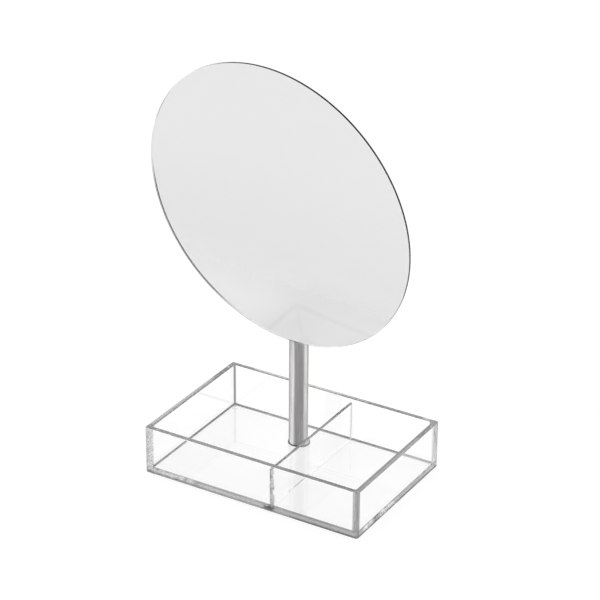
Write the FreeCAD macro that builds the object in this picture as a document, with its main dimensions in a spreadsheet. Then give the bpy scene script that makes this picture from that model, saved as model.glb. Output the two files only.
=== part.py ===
"""Vanity mirror on a post that stands in a clear acrylic organiser tray.

Frame: +Z up, front towards -Y, z = 0 is the table under the bumper feet. The origin is the bottom centre
of the whole object's box: the mirror is the widest piece, so x = 0 is the middle of the mirror, and the
tray is the deepest, so y = 0 is the middle of the tray.
"""

import FreeCAD, Part
import math
import os

import Sketcher

# ---------------------------------------------------------------- driving dimensions, millimetres, degrees
DIMENSIONS = {
    # tray
    "tray_length": 235.0,
    "tray_depth": 157.5,
    "tray_height": 49.2,
    "tray_wall": 5.5,
    "floor_thick": 4.5,
    "outer_corner": 2.5,
    "inner_corner": 1.8,
    "floor_round": 1.5,
    "rim_round": 1.0,
    "underside_round": 0.6,
    "divider_thick": 3.0,
    "divider_offset": 22.8,
    "divider_drop": 4.8,
    "divider_round": 0.4,
    "bond_gap": 0.05,
    # feet
    "foot_diameter": 8.0,
    "foot_height": 3.0,
    "foot_inset": 6.0,
    "foot_crown": 1.5,
    # post and what fastens it to the tray
    "post_left": 17.6,
    "post_back": 41.0,
    "tube_diameter": 19.05,
    "tube_wall": 1.0,
    "tube_length": 250.5,
    "tube_edge": 0.3,
    "gasket_thick": 0.8,
    "gasket_overhang": 0.7,
    "plug_length": 14.0,
    "plug_chamfer": 0.8,
    "screw_diameter": 6.0,
    "screw_length": 16.0,
    "screw_head_diameter": 10.5,
    "screw_head_thick": 2.0,
    "socket_flats": 4.0,
    "socket_depth": 1.2,
    "base_washer_diameter": 12.0,
    "base_washer_thick": 1.0,
    "counterbore_diameter": 13.0,
    "counterbore_depth": 2.0,
    # swivel
    "bush_flange_thick": 1.5,
    "bush_length": 14.0,
    "spindle_diameter": 8.0,
    "thrust_thick": 0.8,
    "spring_thick": 0.5,
    "spring_rise": 1.0,
    "spring_diameter": 15.0,
    "flat_washer_diameter": 15.6,
    "flat_washer_thick": 1.0,
    "spindle_nut_flats": 13.0,
    "spindle_nut_thick": 5.0,
    "thread_past_nut": 1.0,
    "yoke_base_thick": 3.5,
    "yoke_rise": 13.0,
    "yoke_top": 7.5,
    "yoke_crown": 5.0,
    "yoke_flats": 16.0,
    "yoke_rear_wall": 3.0,
    "yoke_rear_height": 4.0,
    # tilt
    "knuckle_width": 8.0,
    "knuckle_diameter": 12.0,
    "bolt_diameter": 5.0,
    "bolt_head_diameter": 9.0,
    "bolt_head_thick": 2.6,
    "bolt_head_crown": 0.9,
    "bolt_socket_flats": 3.0,
    "friction_washer_diameter": 11.0,
    "friction_washer_thick": 0.8,
    "tilt_spring_diameter": 10.0,
    "tilt_spring_rise": 0.8,
    "tilt_nut_flats": 8.0,
    "tilt_nut_thick": 4.0,
    "tilt_nut_dome": 2.0,
    "tilt_nut_round": 1.8,
    # mirror
    "mirror_diameter": 295.5,
    "glass_thick": 2.0,
    "glass_arris": 0.3,
    "silvering_thick": 0.2,
    "silvering_inset": 0.5,
    "pad_diameter": 104.0,
    "pad_thick": 1.0,
    "plate_diameter": 110.0,
    "plate_thick": 2.5,
    "plate_rim_width": 3.0,
    "plate_rim_rise": 1.2,
    "boss_diameter": 54.0,
    "boss_thick": 4.0,
    "flange_diameter": 46.0,
    "flange_thick": 3.0,
    "flange_screw_circle": 34.0,
    "flange_screw_count": 4,
    "stem_height": 9.0,
    "gusset_reach": 7.0,
    "bracket_screw_diameter": 3.0,
    "bracket_screw_length": 8.0,
    "bracket_screw_head_diameter": 5.6,
    "bracket_screw_head_thick": 2.0,
    "stand_off": 37.7,
    # pose as it stands
    "swing_angle": 5.2,
    "lean_angle": 8.55,
    # clearances
    "press_gap": 0.02,
    "running_gap": 0.05,
    "face_gap": 0.1,
    "hole_gap": 0.3,
}

# ---------------------------------------------------------------- places worked out from them
S = "sizes."
PIVOT_X = f"({S}stand_off - {S}glass_thick / 2) * sin({S}swing_angle) * cos({S}lean_angle)"
TRAY_X = f"({PIVOT_X} + {S}post_left)"
POST_Y = f"{S}post_back"
FLOOR_TOP = f"({S}foot_height + {S}floor_thick)"
TUBE_BOTTOM = f"({FLOOR_TOP} + {S}gasket_thick)"
TUBE_TOP = f"({TUBE_BOTTOM} + {S}tube_length)"
YOKE_BOTTOM = f"({TUBE_TOP} + {S}bush_flange_thick + {S}thrust_thick + {S}running_gap)"
PIVOT_Z = f"({YOKE_BOTTOM} + {S}yoke_base_thick + {S}yoke_rise)"
TUBE_BORE = f"({S}tube_diameter - 2 * {S}tube_wall)"
BUSH_BORE = f"({S}spindle_diameter + 2 * {S}running_gap)"
SLOT_WIDTH = f"({S}knuckle_width + 2 * {S}friction_washer_thick + 2 * {S}face_gap)"
BOLT_BORE = f"({S}bolt_diameter + 2 * {S}running_gap)"
SCREW_HOLE = f"({S}screw_diameter + 2 * {S}hole_gap)"
# distances from the pivot towards the front, along the mirror's own axis
GLASS_BACK = f"({S}stand_off - {S}glass_thick)"
SILVER_BACK = f"({GLASS_BACK} - {S}press_gap - {S}silvering_thick)"
PAD_BACK = f"({SILVER_BACK} - {S}pad_thick)"
PLATE_BACK = f"({PAD_BACK} - {S}plate_thick)"
BOSS_BACK = f"({PLATE_BACK} - {S}boss_thick)"
FLANGE_BACK = f"({BOSS_BACK} - {S}flange_thick)"
# distances down from the pivot, along the spindle
YOKE_UNDERSIDE = f"({S}yoke_rise + {S}yoke_base_thick)"
BUSH_TOP = f"({YOKE_UNDERSIDE} + {S}running_gap + {S}thrust_thick)"
BUSH_BOTTOM = f"({BUSH_TOP} + {S}bush_flange_thick + {S}bush_length)"
SPRING_BOTTOM = f"({BUSH_BOTTOM} + {S}face_gap + {S}spring_rise)"
WASHER_BOTTOM = f"({SPRING_BOTTOM} + {S}flat_washer_thick)"
NUT_BOTTOM = f"({WASHER_BOTTOM} + {S}spindle_nut_thick)"
SPINDLE_END = f"({NUT_BOTTOM} + {S}thread_past_nut)"
# distances from the pivot along the tilt bolt
NUT_SEAT = f"({S}yoke_flats / 2 + {S}tilt_spring_rise)"
NUT_END = f"({NUT_SEAT} + {S}tilt_nut_thick)"

STAND_PLACE = f"placement(vector({PIVOT_X}; {POST_Y}; 0); rotation(0; 0; 0))"
TRAY_PLACE = f"placement(vector({TRAY_X}; 0; {S}foot_height); rotation(0; 0; 0))"
PIVOT = f"vector({PIVOT_X}; {POST_Y}; {PIVOT_Z})"
HEAD_PLACE = f"placement({PIVOT}; rotation(-{S}swing_angle; 0; 0))"
MIRROR_PLACE = f"placement({PIVOT}; rotation(-{S}swing_angle; 0; {S}lean_angle))"

SAME = 1e-6  # two lengths or volumes closer than this are equal
DOC = FreeCAD.newDocument("vanity_mirror")
PIECES = []


def make_sheet():
    """The spreadsheet of driving dimensions, one alias each."""
    sheet = DOC.addObject("Spreadsheet::Sheet", "sizes")
    for row, (name, value) in enumerate(DIMENSIONS.items(), start=1):
        sheet.set(f"A{row}", name)
        sheet.set(f"B{row}", str(value))
        sheet.setAlias(f"B{row}", name)
    DOC.recompute()
    return sheet


SHEET = make_sheet()


def size(name):
    """The sheet's present value of one driving dimension."""
    return float(getattr(SHEET, name))


# ---------------------------------------------------------------- small helpers for bodies and sketches
def new_body(name, place):
    """An empty body that becomes one node."""
    body = DOC.addObject("PartDesign::Body", name)
    body.Label = name
    body.setExpression("Placement", place)
    PIECES.append(body)
    return body


def new_sketch(body, role, offset=None):
    """A sketch on one of the body's own origin planes, moved along that plane's normal by offset."""
    flat = body.newObject("Sketcher::SketchObject", f"{body.Label}_sketch")
    support = [item for item in body.Origin.OriginFeatures if item.Role == role][0]
    flat.AttachmentSupport = (support, [""])
    flat.MapMode = "FlatFace"
    if offset:
        flat.setExpression("AttachmentOffset.Base.z", offset)
    return flat


def pin_point(flat, edge, end, across, up):
    """Fix one point of a sketch edge at two sizes; "0" puts it on the sketch's axis."""
    for kind, length, axis in (("DistanceX", across, -2), ("DistanceY", up, -1)):
        if length == "0":
            flat.addConstraint(Sketcher.Constraint("PointOnObject", edge, end, axis))
        else:
            number = flat.addConstraint(Sketcher.Constraint(kind, edge, end, 1.0))
            flat.setExpression(f"Constraints[{number}]", length)


def draw_outline(flat, points):
    """A closed outline of straight edges through points, each an (across, up) pair of sizes."""
    first = flat.GeometryCount
    count = len(points)
    turn = 2 * math.pi / count
    start = [FreeCAD.Vector(math.cos(turn * i), math.sin(turn * i), 0) for i in range(count)]
    for i in range(count):
        flat.addGeometry(Part.LineSegment(start[i], start[(i + 1) % count]), False)
    for i in range(count):
        following = first + (i + 1) % count
        flat.addConstraint(Sketcher.Constraint("Coincident", first + i, 2, following, 1))
    for i, (across, up) in enumerate(points):
        pin_point(flat, first + i, 1, across, up)


def draw_rectangle(flat, width, height, across="0", up="0"):
    """A rectangle centred at (across, up)."""
    left, right = f"{across} - {width} / 2", f"{across} + {width} / 2"
    low, high = f"{up} - {height} / 2", f"{up} + {height} / 2"
    draw_outline(flat, [(left, low), (right, low), (right, high), (left, high)])


def draw_circle(flat, diameter, across="0", up="0"):
    """A circle centred at (across, up)."""
    circle = Part.Circle(FreeCAD.Vector(0, 0, 0), FreeCAD.Vector(0, 0, 1), 1.0)
    edge = flat.addGeometry(circle, False)
    pin_point(flat, edge, 3, across, up)
    number = flat.addConstraint(Sketcher.Constraint("Diameter", edge, 2 * circle.Radius))
    flat.setExpression(f"Constraints[{number}]", diameter)


def draw_hexagon(flat, flats):
    """A regular hexagon about the sketch's origin, measured across its flats."""
    corner = f"{flats} / sqrt(3)"
    half = f"{flats} / 2"
    points = [(corner, "0"), (f"{corner} / 2", half), (f"-{corner} / 2", half),
              (f"-{corner}", "0"), (f"-{corner} / 2", f"-{half}"), (f"{corner} / 2", f"-{half}")]
    draw_outline(flat, points)


def pad(body, flat, length, both_ways=False, backwards=False):
    """Extrude a sketch into the body."""
    feature = body.newObject("PartDesign::Pad", f"{body.Label}_pad")
    feature.Profile = flat
    feature.Reversed = backwards
    if both_ways:
        feature.SideType = "Symmetric"
    feature.setExpression("Length", length)
    return feature


def pocket(body, flat, length=None, both_ways=False, backwards=False):
    """Cut a sketch out of the body, right through where no length is given."""
    feature = body.newObject("PartDesign::Pocket", f"{body.Label}_pocket")
    feature.Profile = flat
    feature.Reversed = backwards
    if both_ways:
        feature.SideType = "Symmetric"
    if length:
        feature.setExpression("Length", length)
    else:
        feature.Type = "ThroughAll"
    return feature


def revolve(body, flat, axis="V_Axis"):
    """Turn a sketch a full circle about one of its own axes."""
    feature = body.newObject("PartDesign::Revolution", f"{body.Label}_revolution")
    feature.Profile = flat
    feature.ReferenceAxis = (flat, [axis])
    feature.Angle = 360
    return feature


def round_edges(body, radius, wanted):
    """Fillet the edges of the body's last feature that wanted(edge) picks."""
    return finish_edges(body, "PartDesign::Fillet", "Radius", radius, wanted)


def bevel_edges(body, length, wanted):
    """Chamfer the edges of the body's last feature that wanted(edge) picks."""
    return finish_edges(body, "PartDesign::Chamfer", "Size", length, wanted)


def finish_edges(body, kind, sized_by, length, wanted):
    """Add one fillet or chamfer feature on the picked edges."""
    DOC.recompute()
    base = body.Tip
    names = [f"Edge{i}" for i, edge in enumerate(base.Shape.Edges, start=1) if wanted(edge)]
    if not names:
        raise ValueError(f"{body.Label}: no edge to finish")
    feature = body.newObject(kind, f"{body.Label}_edges")
    feature.Base = (base, names)
    feature.setExpression(sized_by, length)
    return feature


def spin_copies(body, feature, count, axis_role):
    """Repeat a feature around one of the body's origin axes."""
    copies = body.newObject("PartDesign::PolarPattern", f"{body.Label}_pattern")
    copies.Originals = [feature]
    support = [item for item in body.Origin.OriginFeatures if item.Role == axis_role][0]
    copies.Axis = (support, [""])
    copies.Angle = 360
    copies.setExpression("Occurrences", count)
    body.Tip = copies
    return copies


def check_cut(body, before, what):
    """Stop if the last cut took nothing away."""
    DOC.recompute()
    if body.Shape.Volume >= before - SAME:
        raise ValueError(f"{body.Label}: the {what} cut nothing")


def is_upright(edge):
    """True for a straight edge along Z."""
    low, high = edge.Vertexes[0].Point, edge.Vertexes[-1].Point
    return abs(high.z - low.z) > SAME and math.hypot(high.x - low.x, high.y - low.y) < SAME


def lies_at(edge, height):
    """True for an edge that lies wholly at one height."""
    box = edge.BoundBox
    return abs(box.ZMin - height) < SAME and abs(box.ZMax - height) < SAME


def ring(name, place, inner, outer, low, high):
    """A flat washer or sleeve about Z between two heights."""
    body = new_body(name, place)
    flat = new_sketch(body, "XZ_Plane")
    draw_outline(flat, [(f"{inner} / 2", low), (f"{outer} / 2", low),
                        (f"{outer} / 2", high), (f"{inner} / 2", high)])
    revolve(body, flat)
    return body


# ---------------------------------------------------------------- tray
def make_tray_shell():
    """Clear moulded tray: block, hollowed, corners and rim rounded, counterbored for the post's screw."""
    body = new_body("tray_shell", TRAY_PLACE)
    outside = new_sketch(body, "XY_Plane")
    draw_rectangle(outside, f"{S}tray_length", f"{S}tray_depth")
    pad(body, outside, f"{S}tray_height")
    round_edges(body, f"{S}outer_corner", is_upright)
    DOC.recompute()
    before = body.Shape.Volume
    inside = new_sketch(body, "XY_Plane", f"{S}floor_thick")
    draw_rectangle(inside, f"({S}tray_length - 2 * {S}tray_wall)", f"({S}tray_depth - 2 * {S}tray_wall)")
    pocket(body, inside, f"{S}tray_height - {S}floor_thick", backwards=True)
    check_cut(body, before, "hollow")
    half_inside = size("tray_length") / 2 - size("tray_wall")

    def is_inner_corner(edge):
        at_inside = abs(abs(edge.Vertexes[0].Point.x) - half_inside) < SAME
        return is_upright(edge) and at_inside

    round_edges(body, f"{S}inner_corner", is_inner_corner)
    round_edges(body, f"{S}floor_round", lambda edge: lies_at(edge, size("floor_thick")))
    round_edges(body, f"{S}rim_round", lambda edge: lies_at(edge, size("tray_height")))
    round_edges(body, f"{S}underside_round", lambda edge: lies_at(edge, 0.0))
    DOC.recompute()
    before = body.Shape.Volume
    across, up = f"-{S}post_left", f"{S}post_back"
    hole = new_sketch(body, "XY_Plane")
    draw_circle(hole, SCREW_HOLE, across, up)
    pocket(body, hole, f"{S}floor_thick", backwards=True)
    check_cut(body, before, "screw hole")
    before = body.Shape.Volume
    counterbore = new_sketch(body, "XY_Plane")
    draw_circle(counterbore, f"{S}counterbore_diameter", across, up)
    pocket(body, counterbore, f"{S}counterbore_depth", backwards=True)
    check_cut(body, before, "counterbore")


def make_tray_divider():
    """Clear plate across the tray, cemented to its walls, the lower corners rounded to clear its fillets."""
    foot = f"vector({TRAY_X} + {S}divider_offset; 0; {FLOOR_TOP} + {S}bond_gap)"
    body = new_body("tray_divider", f"placement({foot}; rotation(0; 0; 0))")
    flat = new_sketch(body, "XY_Plane")
    draw_rectangle(flat, f"{S}divider_thick", f"({S}tray_depth - 2 * {S}tray_wall - 2 * {S}bond_gap)")
    height = f"({S}tray_height - {S}floor_thick - {S}divider_drop - {S}bond_gap)"
    pad(body, flat, height)
    round_edges(body, f"{S}floor_round",
                lambda edge: lies_at(edge, 0.0) and edge.BoundBox.XLength > edge.BoundBox.YLength)
    DOC.recompute()
    top = body.Shape.BoundBox.ZMax - body.Placement.Base.z

    def is_long_top_edge(edge):
        return lies_at(edge, top) and edge.BoundBox.YLength > edge.BoundBox.XLength

    round_edges(body, f"{S}divider_round", is_long_top_edge)


def make_bumper_feet():
    """Four clear bumpers under the corners: short cones with a rounded lower edge."""
    feet = []
    for corner, (left_right, front_back) in enumerate([(-1, -1), (1, -1), (1, 1), (-1, 1)], start=1):
        stub = DOC.addObject("Part::Cylinder", f"foot_stub_{corner}")
        stub.setExpression("Radius", f"{S}foot_diameter / 2")
        stub.setExpression("Height", f"{S}foot_height - {S}press_gap")
        across = f"{left_right} * ({S}tray_length / 2 - {S}foot_inset)"
        stub.setExpression("Placement.Base.x", f"{TRAY_X} + {across}")
        stub.setExpression("Placement.Base.y", f"{front_back} * ({S}tray_depth / 2 - {S}foot_inset)")
        DOC.recompute()
        lower = [i for i, edge in enumerate(stub.Shape.Edges, start=1) if lies_at(edge, 0.0)]
        crown = DOC.addObject("Part::Fillet", f"foot_{corner}")
        crown.Base = stub
        crown.Edges = [(i, size("foot_crown"), size("foot_crown")) for i in lower]
        feet.append(crown)
    group = DOC.addObject("Part::Compound", "bumper_feet")
    group.Label = "bumper_feet"
    group.Links = feet
    PIECES.append(group)


# ---------------------------------------------------------------- post and its fastening
def make_post_gasket():
    """Thin ring that keeps the steel tube off the acrylic."""
    outer = f"({S}tube_diameter + 2 * {S}gasket_overhang)"
    ring("post_gasket", STAND_PLACE, SCREW_HOLE, outer, FLOOR_TOP, TUBE_BOTTOM)


def make_post_tube():
    """Steel tube, its ends deburred."""
    body = new_body("post_tube", STAND_PLACE)
    flat = new_sketch(body, "XY_Plane", TUBE_BOTTOM)
    draw_circle(flat, f"{S}tube_diameter")
    draw_circle(flat, TUBE_BORE)
    pad(body, flat, f"{S}tube_length")
    outer = size("tube_diameter") / 2

    def is_outer_end(edge):
        return isinstance(edge.Curve, Part.Circle) and abs(edge.Curve.Radius - outer) < SAME

    bevel_edges(body, f"{S}tube_edge", is_outer_end)


def make_tube_plug():
    """Threaded plug pressed into the tube's foot; both ends chamfered."""
    body = new_body("tube_plug", STAND_PLACE)
    flat = new_sketch(body, "XZ_Plane")
    bore = f"({S}screw_diameter / 2 + {S}running_gap)"
    outer = f"({TUBE_BORE} / 2 - {S}press_gap)"
    top = f"({TUBE_BOTTOM} + {S}plug_length)"
    draw_outline(flat, [(bore, TUBE_BOTTOM),
                        (f"{outer} - {S}plug_chamfer", TUBE_BOTTOM),
                        (outer, f"{TUBE_BOTTOM} + {S}plug_chamfer"),
                        (outer, f"{top} - {S}plug_chamfer"),
                        (f"{outer} - {S}plug_chamfer", top),
                        (bore, top)])
    revolve(body, flat)


def make_base_fastening():
    """Low-head socket screw and washer in the counterbore under the tray floor."""
    washer_top = f"({S}foot_height + {S}counterbore_depth)"
    washer_bottom = f"({washer_top} - {S}base_washer_thick)"
    ring("base_washer", STAND_PLACE, SCREW_HOLE, f"{S}base_washer_diameter", washer_bottom, washer_top)
    body = new_body("base_screw", STAND_PLACE)
    flat = new_sketch(body, "XZ_Plane")
    head_bottom = f"({washer_bottom} - {S}screw_head_thick)"
    shank_top = f"({washer_bottom} + {S}screw_length)"
    shank = f"{S}screw_diameter / 2"
    head = f"{S}screw_head_diameter / 2"
    draw_outline(flat, [("0", head_bottom), (f"{head} - {S}tube_edge", head_bottom),
                        (head, f"{head_bottom} + {S}tube_edge"), (head, washer_bottom),
                        (shank, washer_bottom), (shank, f"{shank_top} - {S}plug_chamfer"),
                        (f"{shank} - {S}plug_chamfer", shank_top), ("0", shank_top)])
    revolve(body, flat)
    DOC.recompute()
    before = body.Shape.Volume
    socket = new_sketch(body, "XY_Plane", head_bottom)
    draw_hexagon(socket, f"{S}socket_flats")
    pocket(body, socket, f"{S}socket_depth", backwards=True)
    check_cut(body, before, "socket")


# ---------------------------------------------------------------- swivel
def make_head_bush():
    """Flanged bush pressed into the tube's top: the spindle's bearing."""
    body = new_body("head_bush", HEAD_PLACE)
    flat = new_sketch(body, "XZ_Plane")
    bore = f"{BUSH_BORE} / 2"
    flange = f"{S}tube_diameter / 2"
    barrel = f"({TUBE_BORE} / 2 - {S}press_gap)"
    seat = f"-({BUSH_TOP} + {S}bush_flange_thick)"
    draw_outline(flat, [(bore, f"-{BUSH_TOP}"), (f"{flange} - {S}tube_edge", f"-{BUSH_TOP}"),
                        (flange, f"-{BUSH_TOP} - {S}tube_edge"), (flange, seat), (barrel, seat),
                        (barrel, f"-{BUSH_BOTTOM} + {S}plug_chamfer"),
                        (f"{barrel} - {S}plug_chamfer", f"-{BUSH_BOTTOM}"), (bore, f"-{BUSH_BOTTOM}")])
    revolve(body, flat)


def make_thrust_washer():
    """Slippery washer that the yoke turns on."""
    ring("thrust_washer", HEAD_PLACE, f"({S}spindle_diameter + 2 * {S}hole_gap)",
         f"({S}tube_diameter - 2 * {S}tube_edge)", f"-{BUSH_TOP}", f"-{BUSH_TOP} + {S}thrust_thick")


def make_swivel_yoke():
    """Fork turned from bar of the tube's diameter: domed, slotted from the front for the knuckle with a low
    wall left behind, flats on its sides for the bolt's head and nut, spindle below."""
    body = new_body("swivel_yoke", HEAD_PLACE)
    bar = new_sketch(body, "XY_Plane", f"-{YOKE_UNDERSIDE}")
    draw_circle(bar, f"{S}tube_diameter")
    pad(body, bar, f"({YOKE_UNDERSIDE} + {S}yoke_top)")
    round_edges(body, f"{S}yoke_crown", lambda edge: lies_at(edge, size("yoke_top")))
    spindle = new_sketch(body, "XY_Plane", f"-{YOKE_UNDERSIDE}")
    draw_circle(spindle, f"{S}spindle_diameter")
    pad(body, spindle, f"({SPINDLE_END} - {YOKE_UNDERSIDE})", backwards=True)
    DOC.recompute()
    before = body.Shape.Volume
    slot = new_sketch(body, "YZ_Plane")
    past = f"{S}tube_diameter"
    rear = f"({S}tube_diameter / 2 - {S}yoke_rear_wall)"
    floor = f"-{S}yoke_rise"
    draw_outline(slot, [(f"-{past}", floor), (rear, floor), (rear, f"{S}yoke_rear_height"),
                        (past, f"{S}yoke_rear_height"), (past, past), (f"-{past}", past)])
    pocket(body, slot, SLOT_WIDTH, both_ways=True)
    check_cut(body, before, "slot")
    before = body.Shape.Volume
    flats = new_sketch(body, "XY_Plane", floor)
    for side in (1, -1):
        near = f"{side} * {S}yoke_flats / 2"
        far = f"{side} * {past}"
        draw_outline(flats, [(near, f"-{past}"), (far, f"-{past}"), (far, past), (near, past)])
    pocket(body, flats, f"({S}yoke_rise + {S}yoke_top)", backwards=True)
    check_cut(body, before, "flats")
    before = body.Shape.Volume
    bolt_hole = new_sketch(body, "YZ_Plane")
    draw_circle(bolt_hole, BOLT_BORE)
    pocket(body, bolt_hole, f"2 * {past}", both_ways=True)
    check_cut(body, before, "bolt hole")


def cone_washer(name, place, axis, bore, outer, low, rise):
    """A conical spring washer: its bore's edge at low, its rim raised by rise less its thickness."""
    body = new_body(name, place)
    role, turned_about = ("XZ_Plane", "V_Axis") if axis == "Z" else ("XY_Plane", "H_Axis")
    flat = new_sketch(body, role)
    thick = f"{S}spring_thick"
    inner_edge = (f"{bore} / 2", low)
    outer_edge = (f"{outer} / 2", f"{low} + {rise} - {thick}")
    section = [inner_edge, outer_edge,
               (outer_edge[0], f"{low} + {rise}"), (inner_edge[0], f"{low} + {thick}")]
    if axis == "X":
        section = [(up, across) for across, up in section]
    draw_outline(flat, section)
    revolve(body, flat, turned_about)


def make_spindle_fastening():
    """Spring washer, flat washer and nut below the bush, inside the tube."""
    bore = f"({S}spindle_diameter + 2 * {S}hole_gap)"
    cone_washer("spindle_spring", HEAD_PLACE, "Z", bore, f"{S}spring_diameter",
                f"-{SPRING_BOTTOM}", f"{S}spring_rise")
    ring("spindle_washer", HEAD_PLACE, bore, f"{S}flat_washer_diameter",
         f"-{WASHER_BOTTOM}", f"-{SPRING_BOTTOM}")
    body = new_body("spindle_nut", HEAD_PLACE)
    flat = new_sketch(body, "XY_Plane", f"-{NUT_BOTTOM}")
    draw_hexagon(flat, f"{S}spindle_nut_flats")
    draw_circle(flat, f"({S}spindle_diameter + 2 * {S}running_gap)")
    pad(body, flat, f"{S}spindle_nut_thick")


# ---------------------------------------------------------------- tilt hinge
def make_tilt_bolt():
    """Shoulder bolt through the fork and the knuckle, with a low crowned head."""
    body = new_body("tilt_bolt", HEAD_PLACE)
    flat = new_sketch(body, "XY_Plane")
    seat = f"{S}yoke_flats / 2"
    head = f"{S}bolt_head_diameter / 2"
    shank = f"{S}bolt_diameter / 2"
    top = f"({seat} + {S}bolt_head_thick)"
    draw_outline(flat, [(f"-{NUT_END} + {S}tilt_nut_dome", "0"), (top, "0"),
                        (top, f"{head} - {S}bolt_head_crown"), (f"{top} - {S}bolt_head_crown", head),
                        (seat, head), (seat, shank), (f"-{NUT_END} + {S}tilt_nut_dome", shank)])
    revolve(body, flat, "H_Axis")
    DOC.recompute()
    before = body.Shape.Volume
    socket = new_sketch(body, "YZ_Plane", top)
    draw_hexagon(socket, f"{S}bolt_socket_flats")
    pocket(body, socket, f"{S}socket_depth")
    check_cut(body, before, "socket")


def make_tilt_washers():
    """Friction washers on both sides of the knuckle, in one node."""
    washers = []
    for side, word in ((1, "right"), (-1, "left")):
        inner = f"{S}knuckle_width / 2 + {S}face_gap"
        blank = DOC.addObject("Part::Cylinder", f"friction_blank_{word}")
        blank.setExpression("Radius", f"{S}friction_washer_diameter / 2")
        hole = DOC.addObject("Part::Cylinder", f"friction_hole_{word}")
        hole.setExpression("Radius", f"{BOLT_BORE} / 2")
        for disc in (blank, hole):
            disc.setExpression("Height", f"{S}friction_washer_thick")
            disc.setExpression("Placement", f"placement(vector({side} * ({inner}); 0; 0); "
                                            f"rotation(0; {side} * 90; 0))")
        washer = DOC.addObject("Part::Cut", f"friction_washer_{word}")
        washer.Base = blank
        washer.Tool = hole
        washers.append(washer)
    group = DOC.addObject("Part::Compound", "friction_washers")
    group.Label = "friction_washers"
    group.Links = washers
    group.setExpression("Placement", HEAD_PLACE)
    PIECES.append(group)


def make_tilt_nut():
    """Domed nut on the bolt's far end, over its spring washer."""
    cone_washer("tilt_spring", HEAD_PLACE, "X", f"({S}bolt_diameter + 2 * {S}hole_gap)",
                f"{S}tilt_spring_diameter", f"-{NUT_SEAT}", f"{S}tilt_spring_rise")
    body = new_body("tilt_nut", HEAD_PLACE)
    flat = new_sketch(body, "YZ_Plane", f"-{NUT_SEAT}")
    draw_hexagon(flat, f"{S}tilt_nut_flats")
    pad(body, flat, f"{S}tilt_nut_thick", backwards=True)
    dome = new_sketch(body, "YZ_Plane", f"-{NUT_END}")
    draw_circle(dome, f"{S}tilt_nut_flats")
    pad(body, dome, f"{S}tilt_nut_dome", backwards=True)
    end = size("yoke_flats") / 2 + size("tilt_spring_rise") + size("tilt_nut_thick") + size("tilt_nut_dome")
    round_edges(body, f"{S}tilt_nut_round", lambda edge: abs(edge.BoundBox.XMin + end) < SAME)
    DOC.recompute()
    before = body.Shape.Volume
    bore = new_sketch(body, "YZ_Plane", f"-{NUT_SEAT}")
    draw_circle(bore, BOLT_BORE)
    pocket(body, bore, f"{S}tilt_nut_thick - {S}tilt_nut_dome + {S}hole_gap")
    check_cut(body, before, "bore")


# ---------------------------------------------------------------- mirror
def make_mirror_bracket():
    """One casting: knuckle on the bolt, stem with gussets, round flange with its screw holes."""
    body = new_body("mirror_bracket", MIRROR_PLACE)
    flange = new_sketch(body, "XZ_Plane", FLANGE_BACK)
    draw_circle(flange, f"{S}flange_diameter")
    pad(body, flange, f"{S}flange_thick")
    stem = new_sketch(body, "XZ_Plane")
    draw_rectangle(stem, f"{S}knuckle_width", f"{S}stem_height")
    pad(body, stem, FLANGE_BACK)
    knuckle = new_sketch(body, "YZ_Plane")
    draw_circle(knuckle, f"{S}knuckle_diameter")
    pad(body, knuckle, f"{S}knuckle_width", both_ways=True)
    gusset = new_sketch(body, "YZ_Plane")
    root = f"-{FLANGE_BACK}"
    half = f"{S}stem_height / 2"
    for side in (1, -1):
        draw_outline(gusset, [(root, f"{side} * {half}"), (root, f"{side} * ({half} + {S}gusset_reach)"),
                              (f"{root} + {S}gusset_reach", f"{side} * {half}")])
    pad(body, gusset, f"{S}knuckle_width / 2", both_ways=True)
    DOC.recompute()
    before = body.Shape.Volume
    bore = new_sketch(body, "YZ_Plane")
    draw_circle(bore, BOLT_BORE)
    pocket(body, bore, f"2 * {S}knuckle_width", both_ways=True)
    check_cut(body, before, "bore")
    before = body.Shape.Volume
    hole = new_sketch(body, "XZ_Plane", FLANGE_BACK)
    draw_circle(hole, f"({S}bracket_screw_diameter + {S}hole_gap)", f"{S}flange_screw_circle / 2", "0")
    first = pocket(body, hole, f"{S}flange_thick", backwards=True)
    DOC.recompute()
    spin_copies(body, first, f"{S}flange_screw_count", "Y_Axis")
    check_cut(body, before, "screw holes")


def make_bracket_screws():
    """Pan-head screws through the flange into the back plate's boss, in one node."""
    screws = []
    for number in range(int(size("flange_screw_count"))):
        head = DOC.addObject("Part::Cylinder", f"screw_head_{number}")
        head.setExpression("Radius", f"{S}bracket_screw_head_diameter / 2")
        head.setExpression("Height", f"{S}bracket_screw_head_thick")
        head.setExpression("Placement.Base.z", f"-{S}bracket_screw_head_thick")
        shank = DOC.addObject("Part::Cylinder", f"screw_shank_{number}")
        shank.setExpression("Radius", f"{S}bracket_screw_diameter / 2")
        shank.setExpression("Height", f"{S}bracket_screw_length")
        whole = DOC.addObject("Part::Fuse", f"bracket_screw_{number}")
        whole.Base = head
        whole.Tool = shank
        angle = f"{number} * 360 / {S}flange_screw_count"
        radius = f"{S}flange_screw_circle / 2"
        whole.setExpression("Placement", f"placement(vector({radius} * cos({angle}); -{FLANGE_BACK}; "
                                         f"{radius} * sin({angle})); rotation(0; 0; 90))")
        screws.append(whole)
    group = DOC.addObject("Part::Compound", "bracket_screws")
    group.Label = "bracket_screws"
    group.Links = screws
    group.setExpression("Placement", MIRROR_PLACE)
    PIECES.append(group)


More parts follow.
